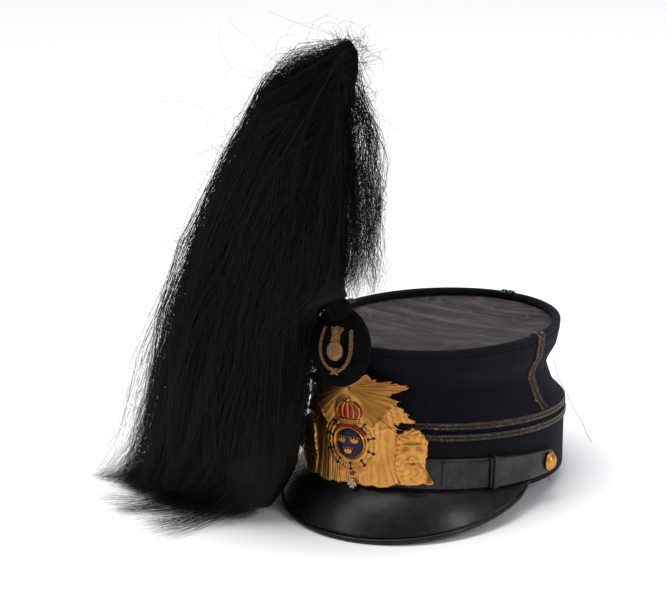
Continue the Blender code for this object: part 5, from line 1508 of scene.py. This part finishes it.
def makeVeil():
    # hair near the stem and beside the boss, each strand keeping its share of the mane's width
    veil = {"clumps": 165, "perClump": 12, "stations": 10, "radius": 0.00015,
            "sway": (0.0026, 0.8, 2.6), "kink": (0.0010, 1.5, 4.5), "pile": 0.0070}
    heights = np.array([0.0, 0.02, 0.12, 0.24, 0.42, 0.47, 0.52, 0.62, 0.88, 1.0])
    right = np.array([0.300, 0.255, 0.185, 0.165, 0.150, 0.090, 0.010, -0.020, -0.022, -0.010])
    draw = np.random.default_rng(61)
    clumps, stations = veil["clumps"], veil["stations"]
    count = clumps * veil["perClump"]
    owner = ownersOf(clumps, veil["perClump"])
    part = 0.62 * draw.random(clumps) ** 1.35
    root = np.clip(0.55 + 0.43 * draw.random(clumps) ** 0.9 + 0.1 * part, 0.55, 0.985)
    depth = np.clip(draw.normal(-0.2, 0.85, clumps), -1.25, 1.15)
    foot = np.where((part < 0.16) & (draw.random(clumps) < 0.62), draw.uniform(0.46, 0.56, clumps), 0.003)
    foot = np.where((foot < 0.01) & (draw.random(clumps) < 0.30), draw.uniform(0.02, 0.34, clumps), foot)
    # from clumps to single strands
    part = part[owner] + draw.normal(0, 0.022, count)
    root = np.clip(root[owner] + draw.normal(0, 0.014, count), 0.53, 0.985)[:, None]
    foot = np.clip(foot[owner] + draw.normal(0, 0.02, count), 0.003, 0.60)[:, None]
    depth = (depth[owner] + draw.normal(0, 0.12, count))[:, None]
    share = evenShares(count, stations)
    level = root + (foot - root) * share
    near = np.interp(level, heights, right)
    far = np.interp(level, bodyHeights, bodyLeft)
    ease = np.minimum((root - level) / 0.14, 1) ** 0.7
    x = -(near + (far - near) * part[:, None]) * plume["reach"] * ease
    deep = np.interp(level, bodyHeights, bodyDepth) * plume["halfDepth"]
    y = plume["axisY"] + depth * deep * ease * np.sqrt(np.clip(1 - 0.5 * (1 - part[:, None]) ** 4, 0.2, 1))
    y = np.where(depth < 0, plume["axisY"] + (y - plume["axisY"]) * np.interp(level, frontHeights, frontShares), y)
    sweep = fade(0.05 - level, 0.05)
    x = x - sweep * 0.016 * (0.4 + draw.random((count, 1)))
    y = y - sweep * 0.020 * (0.2 + draw.random((count, 1)))
    paths = np.stack([x, y, level * plume["height"]], -1)
    paths = paths + waves(draw, clumps, evenShares(clumps, stations), *veil["sway"])[owner] * ease[..., None]
    paths = paths + waves(draw, count, share, *veil["kink"]) * ease[..., None]
    paths[..., 2] = np.maximum(paths[..., 2], draw.uniform(plume["skim"], veil["pile"], (count, 1)))
    layStrands("stemVeil", paths, veil["radius"] * draw.uniform(0.7, 1.2, count), drawTones(draw, count))


def makeWisps(name, tufts, perTuft, low, high, seed):
    # loose, kinked hair along the plume's outer edge
    wisps = {"stations": 13, "radius": 0.00011, "sway": (0.0050, 0.6, 2.2), "kink": (0.0017, 2.5, 6.0)}
    stations = wisps["stations"]
    draw = np.random.default_rng(seed)
    count, owner = tufts * perTuft, ownersOf(tufts, perTuft)
    root = draw.uniform(0.80, 0.985, tufts)[owner] + draw.normal(0, 0.010, count)
    depth = draw.uniform(-1.2, 0.9, tufts)[owner] + draw.normal(0, 0.12, count)
    spread = (low + (high - low) * draw.random(tufts) ** 1.7)[owner] + draw.normal(0, 0.022, count)
    cut = np.clip(draw.uniform(0.52, 0.98, tufts)[owner] + draw.normal(0, 0.06, count), 0.40, 1.0)
    root = np.clip(root, 0.78, 0.985)
    paths, fall = fallPaths(root, depth, spread, cut, stations)
    share = np.linspace(0, 1, stations)[None, :] * cut[:, None]
    kink = waves(draw, count, share, *wisps["kink"])
    sway = waves(draw, tufts, evenShares(tufts, stations), *wisps["sway"])[owner]
    paths = paths + (kink + sway) * fade(fall - 0.05, 0.35)[..., None]
    layStrands(name, paths, wisps["radius"] * draw.uniform(0.6, 1.2, count), drawTones(draw, count))


def makeFringe():
    # hair that drops straight down behind the stem, over the hat's rim
    fringe = {"tufts": 50, "perTuft": 10, "stations": 12, "radius": 0.00012, "foot": 0.144,
              "sway": (0.0032, 0.6, 2.2), "kink": (0.0019, 2.5, 7.0)}
    draw = np.random.default_rng(29)
    tufts = fringe["tufts"]
    count, owner = tufts * fringe["perTuft"], ownersOf(tufts, fringe["perTuft"])
    out = (0.001 + 0.020 * draw.random(tufts) ** 1.5)[owner] + draw.normal(0, 0.0016, count)
    deep = draw.uniform(-0.55, 0.75, tufts)[owner] + draw.normal(0, 0.09, count)
    root = draw.uniform(0.74, 0.975, tufts)[owner] + draw.normal(0, 0.012, count)
    root = np.clip(root, 0.70, 0.98) * plume["height"]
    foot = fringe["foot"] + np.abs(draw.normal(0, 0.012, count)) + 0.004 * draw.random(tufts)[owner]
    share = evenShares(count, fringe["stations"])
    x = out[:, None] * np.sin(np.minimum(share * 3.2, 1) * math.pi / 2) ** 0.8 * (1.1 - 0.35 * share)
    y = plume["axisY"] + deep[:, None] * plume["halfDepth"] * share**0.6
    rise = 0.006 * np.sin(math.pi * fade(share, 0.15)) * fade(root[:, None] - 0.27, 0.02)
    z = root[:, None] + (foot - root)[:, None] * share**1.1 + rise
    paths = np.stack([x, y, z], -1)
    paths = paths + waves(draw, count, share, *fringe["kink"]) * np.minimum(share / 0.2, 1)[..., None]
    sway = waves(draw, tufts, share[:tufts], *fringe["sway"])[owner]
    paths = paths + sway * np.minimum(share / 0.3, 1)[..., None]
    layStrands("stemFringe", paths, fringe["radius"] * draw.uniform(0.6, 1.2, count), drawTones(draw, count))


def makeTableHair():
    # the ends that sweep out over the table in front of the plume
    spill = {"tufts": 26, "perTuft": 11, "stations": 9, "radius": 0.00012, "sway": (0.0013, 0.8, 3.2),
             "pile": 0.0040}
    draw = np.random.default_rng(37)
    tufts = spill["tufts"]
    count, owner = tufts * spill["perTuft"], ownersOf(tufts, spill["perTuft"])
    # each tuft bends at its knee and runs out to its tip, further to the side the higher its aim
    aim = draw.random(tufts)
    start = np.stack([-0.036 - 0.030 * aim, -0.106 + 0.010 * draw.random(tufts),
                      0.020 + 0.055 * draw.random(tufts)], 1)
    knee = np.stack([-0.066 - 0.040 * aim, -0.126 - 0.012 * draw.random(tufts), 0.001 + 0 * aim], 1)
    tip = np.stack([-0.088 - 0.072 * aim, -0.182 + 0.030 * aim + 0.012 * draw.random(tufts),
                    0.0015 + 0 * aim], 1)
    start = start[owner] + draw.normal(0, 0.0022, (count, 3))
    knee = knee[owner] + draw.normal(0, 0.0030, (count, 3))
    tip = tip[owner] + draw.normal(0, 0.0050, (count, 3)) * (1, 1, 0)
    share = np.linspace(0, 1, spill["stations"])[None, :, None]
    paths = start[:, None] * (1 - share) ** 2 + 2 * knee[:, None] * share * (1 - share) + tip[:, None] * share**2
    flat = evenShares(count, spill["stations"])
    sway = waves(draw, count, flat, *spill["sway"]) * flat[..., None]
    paths = paths + sway * np.array([1, 1, 0.4])
    low = draw.uniform(plume["skim"], spill["pile"], (count, 1)) * (1.2 - flat)
    paths[..., 2] = np.maximum(paths[..., 2], low)
    layStrands("tableHair", paths, spill["radius"] * draw.uniform(0.6, 1.2, count), drawTones(draw, count))


def makeStrays(name, count, stations, radius, length, curl, seed, tones, lowest=0.08):
    # single hairs that stand off the mane's outline and curl
    draw = np.random.default_rng(seed)
    height = draw.uniform(lowest, 1.0, count) ** 0.8
    onLeft = (draw.random(count) < 0.62) | (height < 0.52)
    left = np.interp(height, bodyHeights, bodyLeft) * plume["reach"]
    outer = 0.016 * np.interp(height, [0.5, 0.6, 0.9, 1.0], [0.7, 1.0, 0.8, 0.1])
    x = np.where(onLeft, -left + 0.004, outer * draw.random(count))
    y = plume["axisY"] + draw.normal(0, 0.35, count) * plume["halfDepth"]
    point = np.stack([x, y, height * plume["height"] - 0.002], 1)
    heading = np.where(onLeft, np.radians(235 - 95 * height**3), np.radians(-75 + 110 * height**4))
    heading = heading + draw.normal(0, 0.6, count)
    bend = draw.normal(0, curl, count) / stations
    drift = draw.normal(0, curl * 0.4, count) / stations**1.5
    step = draw.uniform(*length, count) / stations
    points = []
    for i in range(stations):
        points.append(point)
        point = point + np.stack([np.cos(heading) * step, draw.normal(0, 0.25, count) * step,
                                  np.sin(heading) * step], 1)
        heading = heading + bend + drift * i
    paths = np.stack(points, 1)
    # a hair that would leave the room is drawn shorter towards its root
    for axis, (low, high) in enumerate(plume["room"]):
        start = paths[:, :1, axis].copy()
        offset = paths[..., axis] - start
        over = np.maximum(offset.max(1) / np.maximum(high - start[:, 0], 0.0005),
                          offset.min(1) / np.minimum(low - start[:, 0], -0.0005))
        paths[..., axis] = start + offset / np.maximum(over, 1)[:, None]
    layStrands(name, paths, radius * draw.uniform(0.6, 1.25, count), draw.uniform(*tones, count), taper=0.4)


makePlumeCore()
makeFallingHair()
makeVeil()
makeWisps("edgeWisps", 130, 8, 0.01, 0.23, 19)
makeWisps("farWisps", 26, 9, 0.16, 0.33, 23)
makeFringe()
makeTableHair()
makeStrays("strayHairs", 120, 19, 0.000062, (0.025, 0.085), 3.0, 53, (0.6, 0.98))
makeStrays("outlineFuzz", 1100, 6, 0.000090, (0.005, 0.017), 1.5, 71, (0.0, 0.8))
makeStrays("crestFuzz", 300, 9, 0.000100, (0.005, 0.014), 3.2, 83, (0.0, 0.6), lowest=0.93)


# ---- floor and light
def makeStudio():
    deselectAll()
    bpy.ops.mesh.primitive_plane_add(size=14, location=(0, 2.0, -0.0002))
    floor = bpy.context.active_object
    floor.name = "paleFloor"
    material = bpy.data.materials.new("paleFloor")
    material.use_nodes = True
    shader = material.node_tree.nodes["Principled BSDF"]
    shader.inputs["Base Color"].default_value = (0.93, 0.925, 0.935, 1)
    shader.inputs["Roughness"].default_value = 0.75
    shader.inputs["Specular IOR Level"].default_value = 0.2
    floor.data.materials.append(material)

    sky = {"tilt": (math.radians(8), math.radians(-14), 0), "strength": 2.1, "angle": math.radians(40)}
    air = {"tone": (0.95, 0.95, 1.0, 1), "strength": 0.34}
    lights = {
        "keySoftbox": {"at": (-0.9, -1.5, 1.7), "size": 0.75, "watts": 6.5, "tone": (1.0, 0.99, 0.97)},
        "fillSoftbox": {"at": (1.90, -0.10, 1.15), "size": 0.34, "tall": 1.1, "watts": 13, "tone": (0.97, 0.96, 1.0)},
        "topSoftbox": {"at": (0.2, 0.5, 2.1), "size": 1.8, "watts": 12, "tone": (1.0, 1.0, 1.0)},
    }
    bpy.ops.object.light_add(type="SUN", location=(0, 0, 3), rotation=sky["tilt"])
    even = bpy.context.active_object
    even.name = "evenSky"
    even.data.energy, even.data.angle = sky["strength"], sky["angle"]
    for name, light in lights.items():
        bpy.ops.object.light_add(type="AREA", location=light["at"])
        lamp = bpy.context.active_object
        lamp.name = name
        lamp.data.shape = "ELLIPSE"
        lamp.data.size, lamp.data.size_y = light["size"], light.get("tall", light["size"])
        lamp.data.energy, lamp.data.color = light["watts"], light["tone"]
        towards = Vector((0, 0, 0.1)) - Vector(light["at"])
        lamp.rotation_euler = towards.to_track_quat("-Z", "Y").to_euler()
    world = bpy.data.worlds.new("studioAir")
    world.use_nodes = True
    background = world.node_tree.nodes["Background"]
    background.inputs["Color"].default_value = air["tone"]
    background.inputs["Strength"].default_value = air["strength"]
    scene.world = world
    scene.view_settings.view_transform = "Standard"
    print("studio lit")


makeStudio()
